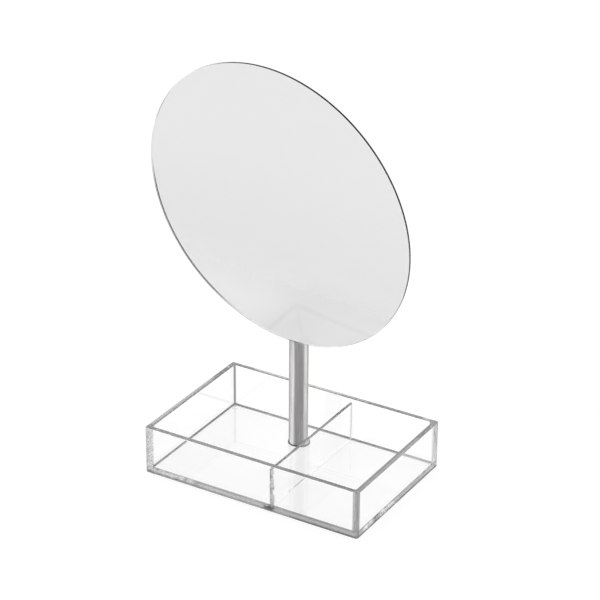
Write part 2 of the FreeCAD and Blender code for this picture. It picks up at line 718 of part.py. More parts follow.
def make_back_plate():
    """Moulded plate: raised rim round its edge, boss in the middle with pilot holes for the screws."""
    body = new_body("back_plate", MIRROR_PLACE)
    flat = new_sketch(body, "XY_Plane")
    rim = f"{S}plate_diameter / 2"
    rim_inside = f"({rim} - {S}plate_rim_width)"
    boss = f"{S}boss_diameter / 2"
    front = f"-{PAD_BACK}"
    back = f"-{PLATE_BACK}"
    raised = f"({back} + {S}plate_rim_rise)"
    draw_outline(flat, [("0", front), (rim, front), (rim, raised), (rim_inside, raised),
                        (rim_inside, back), (f"{boss} + {S}plate_rim_rise", back),
                        (boss, f"-{BOSS_BACK}"), ("0", f"-{BOSS_BACK}")])
    revolve(body, flat)
    DOC.recompute()
    before = body.Shape.Volume
    pilot = new_sketch(body, "XZ_Plane", BOSS_BACK)
    pilot_bore = f"({S}bracket_screw_diameter + 2 * {S}running_gap)"
    draw_circle(pilot, pilot_bore, f"{S}flange_screw_circle / 2", "0")
    first = pocket(body, pilot, f"{S}bracket_screw_length - {S}flange_thick + {S}hole_gap", backwards=True)
    DOC.recompute()
    spin_copies(body, first, f"{S}flange_screw_count", "Y_Axis")
    check_cut(body, before, "pilot holes")


def front_disc(name, diameter, back, thick):
    """A plain disc of the mirror's stack: its back face's distance from the pivot, and its thickness."""
    body = new_body(name, MIRROR_PLACE)
    flat = new_sketch(body, "XZ_Plane", back)
    draw_circle(flat, diameter)
    pad(body, flat, thick)
    return body


def make_mirror():
    """Foam pad, silvering and glass; the glass has a polished edge with a small arris each side."""
    front_disc("adhesive_pad", f"{S}pad_diameter", PAD_BACK, f"{S}pad_thick")
    front_disc("mirror_silvering", f"({S}mirror_diameter - 2 * {S}silvering_inset)", SILVER_BACK,
               f"{S}silvering_thick")
    body = front_disc("mirror_glass", f"{S}mirror_diameter", GLASS_BACK, f"{S}glass_thick")
    bevel_edges(body, f"{S}glass_arris", lambda edge: isinstance(edge.Curve, Part.Circle))


# ---------------------------------------------------------------- build, check, write
def check_all():
    """Stop on a failed feature or a bad solid."""
    for item in DOC.Objects:
        if "Invalid" in item.State or "Error" in item.State:
            raise ValueError(f"{item.Label} failed: {item.State}")
    for piece in PIECES:
        if piece.Shape.isNull() or not piece.Shape.isValid() or not piece.Shape.Solids:
            raise ValueError(f"{piece.Label} has no valid solid")


def main():
    """Build every piece, check them and write one STEP file each."""
    make_tray_shell()
    make_tray_divider()
    make_bumper_feet()
    make_post_gasket()
    make_post_tube()
    make_tube_plug()
    make_base_fastening()
    make_head_bush()
    make_thrust_washer()
    make_swivel_yoke()
    make_spindle_fastening()
    make_tilt_bolt()
    make_tilt_washers()
    make_tilt_nut()
    make_mirror_bracket()
    make_bracket_screws()
    make_back_plate()
    make_mirror()
    DOC.recompute()
    check_all()
    os.makedirs("parts", exist_ok=True)
    for piece in PIECES:
        piece.Shape.exportStep(os.path.join("parts", f"{piece.Label}.step"))
        box = piece.Shape.BoundBox
        print(f"{piece.Label:18} {len(piece.Shape.Solids)} solid(s) {piece.Shape.Volume:12.1f} mm3 "
              f"x {box.XMin:8.2f} {box.XMax:8.2f} y {box.YMin:8.2f} {box.YMax:8.2f} "
              f"z {box.ZMin:8.2f} {box.ZMax:8.2f}")


main()
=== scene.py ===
"""Looks of a round vanity mirror on a steel post that stands in a clear organiser tray.

Everything is in metres, in the part's own frame: +Z up, the front towards -Y, the table at z = 0.
A pattern's pitch is how many of its features lie along a metre.
"""

import logging
import math
from dataclasses import dataclass
from enum import Enum

import bmesh
import bpy
from mathutils import Matrix, Vector


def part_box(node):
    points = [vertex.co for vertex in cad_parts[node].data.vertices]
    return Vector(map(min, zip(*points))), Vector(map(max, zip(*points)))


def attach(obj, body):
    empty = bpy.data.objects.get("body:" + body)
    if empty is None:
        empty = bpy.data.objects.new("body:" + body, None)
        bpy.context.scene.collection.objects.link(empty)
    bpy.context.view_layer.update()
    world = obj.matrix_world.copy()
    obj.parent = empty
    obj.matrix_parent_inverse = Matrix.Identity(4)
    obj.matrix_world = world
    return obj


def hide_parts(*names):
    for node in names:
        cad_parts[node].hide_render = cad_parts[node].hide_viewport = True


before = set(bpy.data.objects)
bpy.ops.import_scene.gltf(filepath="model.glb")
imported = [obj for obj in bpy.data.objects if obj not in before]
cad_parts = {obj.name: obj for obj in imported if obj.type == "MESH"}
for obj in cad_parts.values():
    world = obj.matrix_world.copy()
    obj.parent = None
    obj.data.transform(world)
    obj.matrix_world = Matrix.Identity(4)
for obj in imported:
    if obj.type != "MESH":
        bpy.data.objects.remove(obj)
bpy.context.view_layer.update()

MM = 0.001
# A point nearer to a face than this counts as lying on it.
FACE = 0.05 * MM
# Keeps a divisor above zero.
TINY = 0.001
# Lets the largest face at a corner set its normal.
FLAT_WEIGHT = 100
LOG = logging.getLogger("vanity_mirror")

Colour = tuple[float, float, float, float]
Triple = tuple[float, float, float]
Span = tuple[float, float]


class Body(Enum):
    """The rigid bodies that pieces ride on."""

    STAND = "stand"
    HEAD = "swivel_head"
    MIRROR = "mirror_head"


class Coordinates(Enum):
    """Where a pattern takes its place from."""

    OBJECT = "Object"
    DIRECTION = "Generated"


def grey(level: float) -> Colour:
    """An opaque neutral colour of one level."""
    return (level, level, level, 1.0)


WHITE = grey(1.0)
BLACK = grey(0.0)


# ---------------------------------------------------------------- node trees
class Value:
    """One number in a node tree. Arithmetic on it adds Math nodes."""

    def __init__(self, graph: "Graph", socket: bpy.types.NodeSocket) -> None:
        """Wraps an output socket of the graph's tree."""
        self.graph = graph
        self.socket = socket

    def _math(self, operation: str, *values: "Value | float") -> "Value":
        """The result of one Math node on these operands."""
        return self.graph.value("ShaderNodeMath", {"operation": operation}, dict(enumerate(values)))

    def __add__(self, other: "Value | float") -> "Value":
        """self + other."""
        return self._math("ADD", self, other)

    def __radd__(self, other: float) -> "Value":
        """other + self."""
        return self._math("ADD", other, self)

    def __sub__(self, other: "Value | float") -> "Value":
        """self - other."""
        return self._math("SUBTRACT", self, other)

    def __rsub__(self, other: float) -> "Value":
        """other - self."""
        return self._math("SUBTRACT", other, self)

    def __mul__(self, other: "Value | float") -> "Value":
        """self * other."""
        return self._math("MULTIPLY", self, other)

    def __rmul__(self, other: float) -> "Value":
        """other * self."""
        return self._math("MULTIPLY", other, self)

    def __truediv__(self, other: "Value | float") -> "Value":
        """self / other."""
        return self._math("DIVIDE", self, other)

    def __pow__(self, other: "Value | float") -> "Value":
        """self to a power."""
        return self._math("POWER", self, other)

    def __abs__(self) -> "Value":
        """The value without its sign."""
        return self._math("ABSOLUTE", self)

    def above(self, other: "Value | float") -> "Value":
        """1 where self is greater than other, else 0."""
        return self._math("GREATER_THAN", self, other)

    def most(self, other: "Value | float") -> "Value":
        """The greater of the two."""
        return self._math("MAXIMUM", self, other)

    def least(self, other: "Value | float") -> "Value":
        """The smaller of the two."""
        return self._math("MINIMUM", self, other)

    def root(self) -> "Value":
        """The square root."""
        return self._math("SQRT", self)

    def ramp(self, low: float, high: float) -> "Value":
        """A smooth step.

        Args:
            low: The value at which the step starts, 0.
            high: The value at which it ends, 1.

        Returns:
            The step's value, from 0 to 1.
        """
        inputs = {"Value": self, "From Min": low, "From Max": high}
        settings = {"interpolation_type": "SMOOTHSTEP"}
        return self.graph.value("ShaderNodeMapRange", settings, inputs)


class Graph:
    """A node tree with one method that adds any node."""

    clouds: Span = (0.3, 0.7)

    def __init__(self, tree: bpy.types.NodeTree) -> None:
        """Empties the tree and takes it over."""
        self.tree = tree
        tree.nodes.clear()

    def node(self, kind: str, settings: dict | None = None, inputs: dict | None = None) -> bpy.types.Node:
        """Add a node.

        Args:
            kind: The node's type.
            settings: Its properties, set first.
            inputs: Values or links for its sockets, by name or number.

        Returns:
            The new node.
        """
        made = self.tree.nodes.new(kind)
        for name, setting in (settings or {}).items():
            setattr(made, name, setting)
        for key, value in (inputs or {}).items():
            if isinstance(value, Value):
                self.tree.links.new(value.socket, made.inputs[key])
            elif isinstance(value, bpy.types.NodeSocket):
                self.tree.links.new(value, made.inputs[key])
            else:
                made.inputs[key].default_value = value
        return made

    def value(self, kind: str, settings: dict | None = None, inputs: dict | None = None,
              output: int | str = 0) -> Value:
        """Add a node and wrap one of its outputs as a number."""
        return Value(self, self.node(kind, settings, inputs).outputs[output])

    def place(self, coordinates: Coordinates) -> tuple[Value, Value, Value]:
        """The shaded point or the ray's direction.

        Args:
            coordinates: Which of the two.

        Returns:
            Its three coordinates, a point's in metres.
        """
        where = self.node("ShaderNodeTexCoord").outputs[coordinates.value]
        split = self.node("ShaderNodeSeparateXYZ", None, {0: where})
        return tuple(Value(self, out) for out in split.outputs)

    def noise(self, pitch: float | Triple, detail: float = 2.0) -> Value:
        """Smooth noise on the object's coordinates.

        Args:
            pitch: Features per metre, the same all ways or along each axis.
            detail: How many finer layers are added.

        Returns:
            The noise, about 0.2 to 0.8.
        """
        scale = pitch if isinstance(pitch, tuple) else (pitch, pitch, pitch)
        where = self.node("ShaderNodeTexCoord").outputs[Coordinates.OBJECT.value]
        mapped = self.node("ShaderNodeMapping", None, {"Vector": where, "Scale": scale})
        inputs = {"Vector": mapped.outputs[0], "Scale": 1.0, "Detail": detail}
        return self.value("ShaderNodeTexNoise", None, inputs)

    def cloud(self, pitch: float, detail: float = 2.0) -> Value:
        """Noise spread over the whole range from 0 to 1."""
        return self.noise(pitch, detail).ramp(*self.clouds)

    def cells(self, pitch: float) -> Value:
        """Distance to the nearest of many scattered points, pitch of them per metre."""
        where = self.node("ShaderNodeTexCoord").outputs[Coordinates.OBJECT.value]
        return self.value("ShaderNodeTexVoronoi", None, {"Vector": where, "Scale": pitch})

    def mix(self, factor: Value, low: Colour | bpy.types.NodeSocket,
            high: Colour | bpy.types.NodeSocket) -> bpy.types.NodeSocket:
        """The colour between low and high at factor."""
        mixer = self.node("ShaderNodeMix", {"data_type": "RGBA"}, {0: factor, 6: low, 7: high})
        return mixer.outputs[2]

    def facing(self, direction: Vector) -> Value:
        """How far the surface faces a direction, both in the piece's own axes.

        Args:
            direction: A unit vector, as the piece lies at rest.

        Returns:
            The cosine, -1 to 1, the same at every pose.
        """
        normal = self.node("ShaderNodeNewGeometry").outputs["True Normal"]
        settings = {"vector_type": "NORMAL", "convert_from": "WORLD", "convert_to": "OBJECT"}
        own = self.node("ShaderNodeVectorTransform", settings, {0: normal})
        unit = self.node("ShaderNodeVectorMath", {"operation": "NORMALIZE"}, {0: own.outputs[0]})
        cosine = {"operation": "DOT_PRODUCT"}
        return self.value("ShaderNodeVectorMath", cosine, {0: unit.outputs[0], 1: direction}, "Value")

    def bump(self, height: Value, depth: float) -> bpy.types.NodeSocket:
        """A normal roughened by height, about 0 to 1, over a full depth in metres."""
        inputs = {"Strength": 1.0, "Distance": depth, "Height": height}
        return self.node("ShaderNodeBump", None, inputs).outputs[0]


# ---------------------------------------------------------------- finishes
class Finish:
    """A surface finish. Subclasses give the shader's inputs; material() builds it once.

    A haze is a roughness, and a spread is what a pattern adds to it.
    """

    label = "finish"

    def inputs(self, graph: Graph) -> dict[str, object]:
        """What the Principled shader takes, values and links by the socket's name."""
        raise NotImplementedError

    def surface(self, graph: Graph) -> bpy.types.NodeSocket:
        """The surface's shader."""
        return graph.node("ShaderNodeBsdfPrincipled", None, self.inputs(graph)).outputs[0]

    def interior(self, graph: Graph) -> dict[str, bpy.types.NodeSocket]:
        """What fills the piece, by the output's socket: nothing that shows, unless it is clear."""
        return {}

    def material(self) -> bpy.types.Material:
        """Make the finish's material, or find it.

        Returns:
            The material, made on first use.
        """
        name = f"look_{self.label}"
        found = bpy.data.materials.get(name)
        if found:
            return found
        made = bpy.data.materials.new(name)
        made.use_nodes = True
        graph = Graph(made.node_tree)
        graph.node("ShaderNodeOutputMaterial", None, {"Surface": self.surface(graph), **self.interior(graph)})
        return made


@dataclass(frozen=True)
class Clear(Finish):
    """Something clear: light bends in it and takes on its tint over 1 / density metres."""

    refraction: float = 1.5
    tint: Colour = WHITE
    density: float = 1.0

    def interior(self, graph: Graph) -> dict[str, bpy.types.NodeSocket]:
        """A uniform tint."""
        absorbed = {"Color": self.tint, "Density": self.density}
        return {"Volume": graph.node("ShaderNodeVolumeAbsorption", None, absorbed).outputs[0]}


@dataclass(frozen=True)
class ClearAcrylic(Clear):
    """Polished clear acrylic, faintly wavy. Subclasses say where shade is painted on it and where it is
    rough.

    A tone is how far a place's painted shade dims what shows through it, from 0 to 1.
    """

    refraction: float = 1.49
    tint: Colour = (0.52, 0.50, 0.505, 1.0)
    density: float = 3.6
    haze: float = 0.004
    wave_pitch: float = 45.0
    wave_detail: float = 1.0
    waviness: float = 0.0015 * MM

    def edges(self, graph: Graph) -> tuple[Value, Value]:
        """How far painted shade dims each point, from 0 to 1, and how rough it is beyond the polish."""
        raise NotImplementedError

    def inputs(self, graph: Graph) -> dict[str, object]:
        """Clear, but for the painted shade and roughness that the subclass gives its edges.

        Args:
            graph: The material's tree.

        Returns:
            Values and links, by the socket's name.
        """
        painted_shade, rough = self.edges(graph)
        wave = graph.noise(self.wave_pitch, self.wave_detail)
        return {
            # Painted shade: the Base Color darkens what shows through, where the subclass paints shade.
            "Base Color": graph.mix(painted_shade, WHITE, BLACK),
            "Roughness": self.haze + rough,
            "IOR": self.refraction,
            "Transmission Weight": 1.0,
            "Normal": graph.bump(wave, self.waviness),
        }


class TraySpot:
    """Where a shaded point of the tray lies."""

    def __init__(self, graph: Graph) -> None:
        """Measures the point from the tray's box.

        Args:
            graph: The tree of the tray's material.
        """
        self.low, self.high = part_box("tray_shell")
        self.middle = (self.low + self.high) / 2
        half = (self.high - self.low) / 2
        self.across, self.deep, self.height = graph.place(Coordinates.OBJECT)
        from_side = half.x - abs(self.across - self.middle.x)
        from_front = half.y - abs(self.deep - self.middle.y)
        self.farther = from_side.most(from_front)
        self.outside = 1.0 - from_side.least(from_front).above(Tray.wall - FACE)
        self.at_front = 1.0 - self.deep.above(self.low.y + FACE)
        self.rightward = self.across.ramp(self.middle.x, (self.middle.x + self.high.x) / 2)

    def below(self, reach: float) -> Value:
        """1 up to a height above the tray's underside, else 0."""
        return 1.0 - self.height.above(self.low.z + reach)


@dataclass(frozen=True)
class TrayAcrylic(ClearAcrylic):
    """The tray: painted shade along its rim, inner fillets and foot, and grained at its upright corners.

    On the outer faces a band beside the floor, a sill at its foot and a thin line above it carry painted
    shade too.
    """

    label: str = "tray_acrylic"
    edge_reach: float = 0.15 * MM
    rim_tone: float = 0.68
    rim_tone_rear: float = 0.90
    fillet_share: float = 0.9
    fillet_tone: float = 0.76
    fillet_haze: float = 0.20
    foot_reach: float = 3.0 * MM
    foot_tone: float = 0.72
    sill_reach: float = 1.8 * MM
    sill_tone: float = 0.96
    line_low: float = 6.5 * MM
    line_high: float = 7.5 * MM
    line_tone: float = 0.45
    line_tone_right: float = 0.75
    band_lift: float = 1.8 * MM
    band_full: float = 0.85
    band_tone: float = 0.60
    band_haze: float = 0.14
    streak_pitch: Triple = (60.0, 60.0, 900.0)
    streak_depth: float = 0.5
    corner_reach: float = 9.5 * MM
    corner_solid: float = 0.8
    corner_haze: float = 0.60
    frosted_haze: float = 0.40
    core_reach: float = 4.2 * MM
    core_solid: float = 0.85
    core_tone: float = 0.55
    core_relief: float = 0.7
    grain_pitch: Triple = (900.0, 900.0, 260.0)
    grain_steps: Span = (0.38, 0.62)
    grain_least: float = 0.3
    grain_elsewhere: float = 0.2

    def edges(self, graph: Graph) -> tuple[Value, Value]:
        """The strongest painted shade and roughness among the tray's places.

        Args:
            graph: The material's tree.

        Returns:
            The painted shade, 0 to 1, and the added roughness.
        """
        spot = TraySpot(graph)
        fillets = self._fillets(spot)
        # Painted shade: darkening on the front band below the floor's height, the rim, the inner fillets, the
        # foot and the corners' cores.
        band = spot.outside * spot.below(Tray.floor_thick + self.band_lift)
        core, rough = self._corners(graph, spot)
        painted_shade = self._rim(spot).most(fillets * self.fillet_tone).most(self._foot(spot)).most(core)
        painted_shade = painted_shade.most(band * self._band_shade_streaks(graph, spot) * self.band_tone)
        return painted_shade, rough.most(band * self.band_haze).most(fillets * self.fillet_haze)

    def _rim(self, spot: TraySpot) -> Value:
        """The rim's painted shade, stronger on the rear wall's right half but for its end.

        Args:
            spot: The shaded point.

        Returns:
            The painted shade, 0 to 1.
        """
        at_rear = spot.deep.above(spot.high.y - Tray.wall - FACE)
        ending = spot.across.ramp(spot.high.x - 2 * self.corner_reach, spot.high.x - self.corner_reach)
        rear_right = at_rear * spot.rightward * (1.0 - ending)
        tone = self.rim_tone + rear_right * (self.rim_tone_rear - self.rim_tone)
        # Painted shade along the rim, heavier on the rear wall's right half.
        return spot.height.above(spot.high.z - self.edge_reach) * tone

    def _fillets(self, spot: TraySpot) -> Value:
        """The rounds where the inner walls meet one another and the floor.

        Args:
            spot: The shaded point.

        Returns:
            1 on the rounds, else 0.
        """
        upright = 1.0 - spot.farther.above(Tray.wall + Tray.inner_corner * self.fillet_share)
        base = spot.below(Tray.floor_thick + Tray.floor_round) - spot.below(Tray.floor_thick + FACE)
        return (1.0 - spot.outside) * upright.most(base)

    def _foot(self, spot: TraySpot) -> Value:
        """The painted shade low on the outer walls: foot, sill and line.

        Args:
            spot: The shaded point.

        Returns:
            The painted shade, 0 to 1.
        """
        foot = spot.outside * spot.below(self.foot_reach)
        at_right = spot.across.above(spot.high.x - FACE)
        line = (spot.below(self.line_high) - spot.below(self.line_low)) * spot.at_front.most(at_right)
        line_tone = self.line_tone + spot.rightward * (self.line_tone_right - self.line_tone)
        round_right = spot.across.above(spot.high.x - Tray.underside_round)
        round_front = 1.0 - spot.deep.above(spot.low.y + Tray.underside_round)
        sill = spot.below(self.sill_reach) * round_right.most(round_front * spot.rightward)
        # Painted shade: a dark foot, sill and thin line low on the outer walls.
        return (foot * self.foot_tone).most(line * line_tone).most(sill * self.sill_tone)

    def _band_shade_streaks(self, graph: Graph, spot: TraySpot) -> Value:
        """Level streaks in the front band's painted shade, fuller to the right.

        Args:
            graph: The material's tree.
            spot: The shaded point.

        Returns:
            Their strength, about 1 where full.
        """
        full = spot.low.x + (spot.high.x - spot.low.x) * self.band_full
        streaks = graph.noise(self.streak_pitch) * self.streak_depth + (1.0 + self.streak_depth) / 2
        return spot.across.ramp(spot.low.x, full) * spot.at_front * streaks

    def _corners(self, graph: Graph, spot: TraySpot) -> tuple[Value, Value]:
        """The upright corners: painted shade at their core, grained in front on the left, frosted at the back
        right.

        Args:
            graph: The material's tree.
            spot: The shaded point.

        Returns:
            The painted shade, 0 to 1, and the added roughness.
        """
        near = 1.0 - spot.farther.ramp(self.corner_reach * self.corner_solid, self.corner_reach)
        core = 1.0 - spot.farther.ramp(self.core_reach * self.core_solid, self.core_reach)
        diagonal = ((spot.across - spot.middle.x) * (spot.deep - spot.middle.y)).above(0.0)
        back = spot.deep.above(spot.middle.y)
        grain = graph.noise(self.grain_pitch).ramp(*self.grain_steps)
        grain = grain * (1.0 - self.grain_least) + self.grain_least
        front_left = diagonal * (1.0 - back)
        grained = grain * (front_left * (1.0 - self.grain_elsewhere) + self.grain_elsewhere)
        rough = (grained * self.corner_haze).most(diagonal * back * self.frosted_haze)
        # Painted shade at the corners' cores, less of it on the diagonal; the grain and the frost are only
        # roughness.
        return core * (1.0 - diagonal * self.core_relief) * self.core_tone, near * rough


@dataclass(frozen=True)
class DividerAcrylic(ClearAcrylic):
    """The divider: sawn ends, and painted shade on its top edge and on its end at the back."""

    label: str = "divider_acrylic"
    edge_reach: float = 0.25 * MM
    top_tone: float = 0.76
    back_tone: float = 0.92
    saw_pitch: float = 900.0
    saw_haze: float = 0.5
    top_share: float = 0.3

    def edges(self, graph: Graph) -> tuple[Value, Value]:
        """Top edge and ends, by distance from the divider's box.

        Args:
            graph: The material's tree.

        Returns:
            The painted shade, 0 to 1, and the added roughness.
        """
        low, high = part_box("tray_divider")
        _, deep, height = graph.place(Coordinates.OBJECT)
        top = height.above(high.z - self.edge_reach)
        front = 1.0 - deep.above(low.y + self.edge_reach)
        back = deep.above(high.y - self.edge_reach)
        # Painted shade on the top edge and on the back end.
        painted_shade = (top * self.top_tone).most(back * self.back_tone)
        sawn = front.most(back).most(top * self.top_share)
        return painted_shade, sawn * graph.noise(self.saw_pitch) * self.saw_haze


@dataclass(frozen=True)
class ClearBumper(Clear):
    """Soft clear polyurethane, less polished than the tray.

    Its refraction is low, so that a foot stays faint where it shows through the tray's floor.
    """

    label: str = "clear_bumper"
    refraction: float = 1.08
    tint: Colour = (0.86, 0.87, 0.86, 1.0)
    density: float = 40.0
    skin_pitch: float = 700.0
    haze: float = 0.03
    spread: float = 0.1
    relief: float = 0.01 * MM

    def inputs(self, graph: Graph) -> dict[str, object]:
        """A slightly uneven skin.

        Args:
            graph: The material's tree.

        Returns:
            Values and links, by the socket's name.
        """
        skin = graph.noise(self.skin_pitch)
        return {
            "Base Color": WHITE,
            "Roughness": self.haze + skin * self.spread,
            "IOR": self.refraction,
            "Transmission Weight": 1.0,
            "Normal": graph.bump(skin, self.relief),
        }


@dataclass(frozen=True)
class Cement(Finish):
    """Set acrylic cement: white where it took air, grey where it didn't."""

    label: str = "cement"
    airless: Colour = grey(0.62)
    airy: Colour = grey(1.0)
    blotch_pitch: float = 420.0
    blotch_detail: float = 1.0
    blotch_steps: Span = (0.36, 0.48)
    haze: float = 0.5
    spread: float = 0.3

    def inputs(self, graph: Graph) -> dict[str, object]:
        """Blotches of two greys.

        Args:
            graph: The material's tree.

        Returns:
            Values and links, by the socket's name.
        """
        blotch = graph.noise(self.blotch_pitch, self.blotch_detail).ramp(*self.blotch_steps)
        return {
            "Base Color": graph.mix(blotch, self.airless, self.airy),
            "Roughness": self.haze + blotch * self.spread,
        }


@dataclass(frozen=True)
class BrushedSteel(Finish):
    """Stainless tube, brushed along its length."""

    label: str = "brushed_steel"
    dark: Colour = (0.44, 0.435, 0.43, 1.0)
    pale: Colour = (0.66, 0.655, 0.65, 1.0)
    fine_pitch: Triple = (5200.0, 5200.0, 26.0)
    fine_detail: float = 3.0
    broad_pitch: Triple = (480.0, 480.0, 22.0)
    broad_share: float = 0.65
    streak_steps: Span = (0.34, 0.66)
    haze: float = 0.34
    spread: float = 0.10
    grain: float = 1.0
    grain_turn: float = 0.25
    relief: float = 0.002 * MM

    def inputs(self, graph: Graph) -> dict[str, object]:
        """Fine streaks along Z change the colour, the roughness and the relief.

        Args:
            graph: The material's tree.

        Returns:
            Values and links, by the socket's name.
        """
        fine = graph.noise(self.fine_pitch, self.fine_detail)
        broad = graph.noise(self.broad_pitch)
        streak = fine * (1.0 - self.broad_share) + broad * self.broad_share
        streak = streak.ramp(*self.streak_steps)
        return {
            "Base Color": graph.mix(streak, self.dark, self.pale),
            "Metallic": 1.0,
            "Roughness": self.haze + streak * self.spread,
            "Anisotropic": self.grain,
            "Anisotropic Rotation": self.grain_turn,
            "Normal": graph.bump(fine, self.relief),
        }


@dataclass(frozen=True)
class SatinMetal(Finish):
    """Zinc casting with a satin nickel plate."""

    label: str = "satin_metal"
    dark: Colour = grey(0.504)
    pale: Colour = grey(0.6048)
    cloud_pitch: float = 120.0
    grain_pitch: float = 2600.0
    haze: float = 0.28
    spread: float = 0.16
    relief: float = 0.008 * MM

    def inputs(self, graph: Graph) -> dict[str, object]:
        """A fine even grain with slow cloudiness.

        Args:
            graph: The material's tree.

        Returns:
            Values and links, by the socket's name.
        """
        grain = graph.noise(self.grain_pitch)
        return {
            "Base Color": graph.mix(graph.cloud(self.cloud_pitch), self.dark, self.pale),
            "Metallic": 1.0,
            "Roughness": self.haze + grain * self.spread,
            "Normal": graph.bump(grain, self.relief),
        }


@dataclass(frozen=True)
class PlatedSteel(Finish):
    """Bright zinc plate on small fasteners."""

    label: str = "plated_steel"
    dark: Colour = (0.58, 0.59, 0.61, 1.0)
    pale: Colour = (0.74, 0.74, 0.75, 1.0)
    cloud_pitch: float = 420.0
    cloud_detail: float = 3.0
    haze: float = 0.16
    spread: float = 0.14

    def inputs(self, graph: Graph) -> dict[str, object]:
        """Cloudy plate with a hint of blue.

        Args:
            graph: The material's tree.

        Returns:
            Values and links, by the socket's name.
        """
        cloud = graph.cloud(self.cloud_pitch, self.cloud_detail)
        return {
            "Base Color": graph.mix(cloud, self.dark, self.pale),
            "Metallic": 1.0,
            "Roughness": self.haze + cloud * self.spread,
        }


@dataclass(frozen=True)
class Grained(Finish):
    """Opaque plastic whose grain changes its colour, its roughness and its relief together."""

    dark: Colour = BLACK
    pale: Colour = WHITE
    pitch: float = 1800.0
    detail: float = 2.0
    haze: float = 0.4
    spread: float = 0.2
    relief: float = 0.01 * MM

    def grain(self, graph: Graph) -> Value:
        """The grain's pattern, about 0 to 1."""
        return graph.noise(self.pitch, self.detail)

    def inputs(self, graph: Graph) -> dict[str, object]:
        """The grain in all three.

        Args:
            graph: The material's tree.

        Returns:
            Values and links, by the socket's name.
        """
        grain = self.grain(graph)
        return {
            "Base Color": graph.mix(grain, self.dark, self.pale),
            "Roughness": self.haze + grain * self.spread,
            "Normal": graph.bump(grain, self.relief),
        }


@dataclass(frozen=True)
class DarkNylon(Grained):
    """Near-black nylon of washers, bush and gasket, faintly grained."""

    label: str = "dark_nylon"
    dark: Colour = grey(0.035)
    pale: Colour = grey(0.075)
    haze: float = 0.38


@dataclass(frozen=True)
class MouldedPlate(Grained):
    """Light grey moulded plastic with a spark-eroded texture."""

    label: str = "moulded_plate"
    dark: Colour = grey(0.50)
    pale: Colour = grey(0.62)
    pitch: float = 1500.0
    detail: float = 3.0
    haze: float = 0.45
    relief: float = 0.02 * MM


@dataclass(frozen=True)
class FoamTape(Grained):
    """White closed-cell foam: small cells, with painted shade in their hollows."""

    label: str = "foam_tape"
    dark: Colour = grey(0.62)
    pale: Colour = grey(0.85)
    pitch: float = 2200.0
    haze: float = 0.85
    spread: float = 0.1
    relief: float = 0.05 * MM

    def grain(self, graph: Graph) -> Value:
        """The cells."""
        # Painted shade: the colour darkens towards the cells' hollows, where their relief is lowest.
        return graph.cells(self.pitch)


@dataclass(frozen=True)
class Silvering(Finish):
    """Silver seen through the glass in front, grey protective paint behind.

    Shares are of the mirror's height, from its lowest point.
    """

    label: str = "silvering"
    silver: Colour = grey(0.777)
    silver_middle: Colour = grey(0.756)
    silver_low: Colour = grey(0.906)
    middle_shares: Span = (0.40, 0.72)
    low_shares: Span = (0.10, 0.36)
    haze: float = 0.32
    haze_shares: Span = (0.16, 0.42)
    least_facing: float = 0.5
    edge_width: float = 1.5 * MM
    painted_edge_shade: Colour = grey(0.05)
    paint: Colour = (0.185, 0.20, 0.195, 1.0)
    paint_pale: Colour = (0.225, 0.24, 0.235, 1.0)
    paint_haze: float = 0.4
    paint_spread: float = 0.2
    cloud_pitch: float = 35.0
    cloud_detail: float = 4.0
    peel_pitch: float = 300.0
    peel_share: float = 0.3

    def inputs(self, graph: Graph) -> dict[str, object]:
        """The normal tells the front from the back and the edge; painted light brightens the silver by
        height, and painted shade darkens the lower left edge.

        Args:
            graph: The material's tree.

        Returns:
            Values and links, by the socket's name.
        """
        forward = MirrorHead.forward()
        front = graph.facing(forward).above(self.least_facing)
        low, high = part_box("mirror_silvering")
        across, deep, height = graph.place(Coordinates.OBJECT)
        share = (height - low.z) / (high.z - low.z)
        # Painted light: the silver is brighter low down and dimmer in the middle, to set its reflection's
        # tones.
        silver = graph.mix(share.ramp(*self.middle_shares), self.silver_middle, self.silver)
        silver = graph.mix(share.ramp(*self.low_shares), self.silver_low, silver)
        middle = (low + high) / 2
        aside, behind, above = across - middle.x, deep - middle.y, height - middle.z
        radius = (high.x - low.x) / 2 / math.sqrt(1 - forward.x * forward.x)
        near_edge = (aside * aside + behind * behind + above * above).root().above(radius - self.edge_width)
        # Painted shade: a dark line along the lower left edge of the silver.
        edge_shaded = near_edge * (1.0 - aside.above(0.0)) * MirrorHead.shade_stretch(share)
        silver = graph.mix(edge_shaded, silver, self.painted_edge_shade)
        peel = graph.noise(self.peel_pitch)
        cloudy = graph.cloud(self.cloud_pitch, self.cloud_detail) * (1.0 - self.peel_share)
        paint = graph.mix(cloudy + peel * self.peel_share, self.paint, self.paint_pale)
        dulled = (1.0 - share.ramp(*self.haze_shares)) * self.haze
        return {
            "Base Color": graph.mix(front, paint, silver),
            "Metallic": front,
            "Roughness": (1.0 - front) * (self.paint_haze + peel * self.paint_spread) + front * dulled,
        }


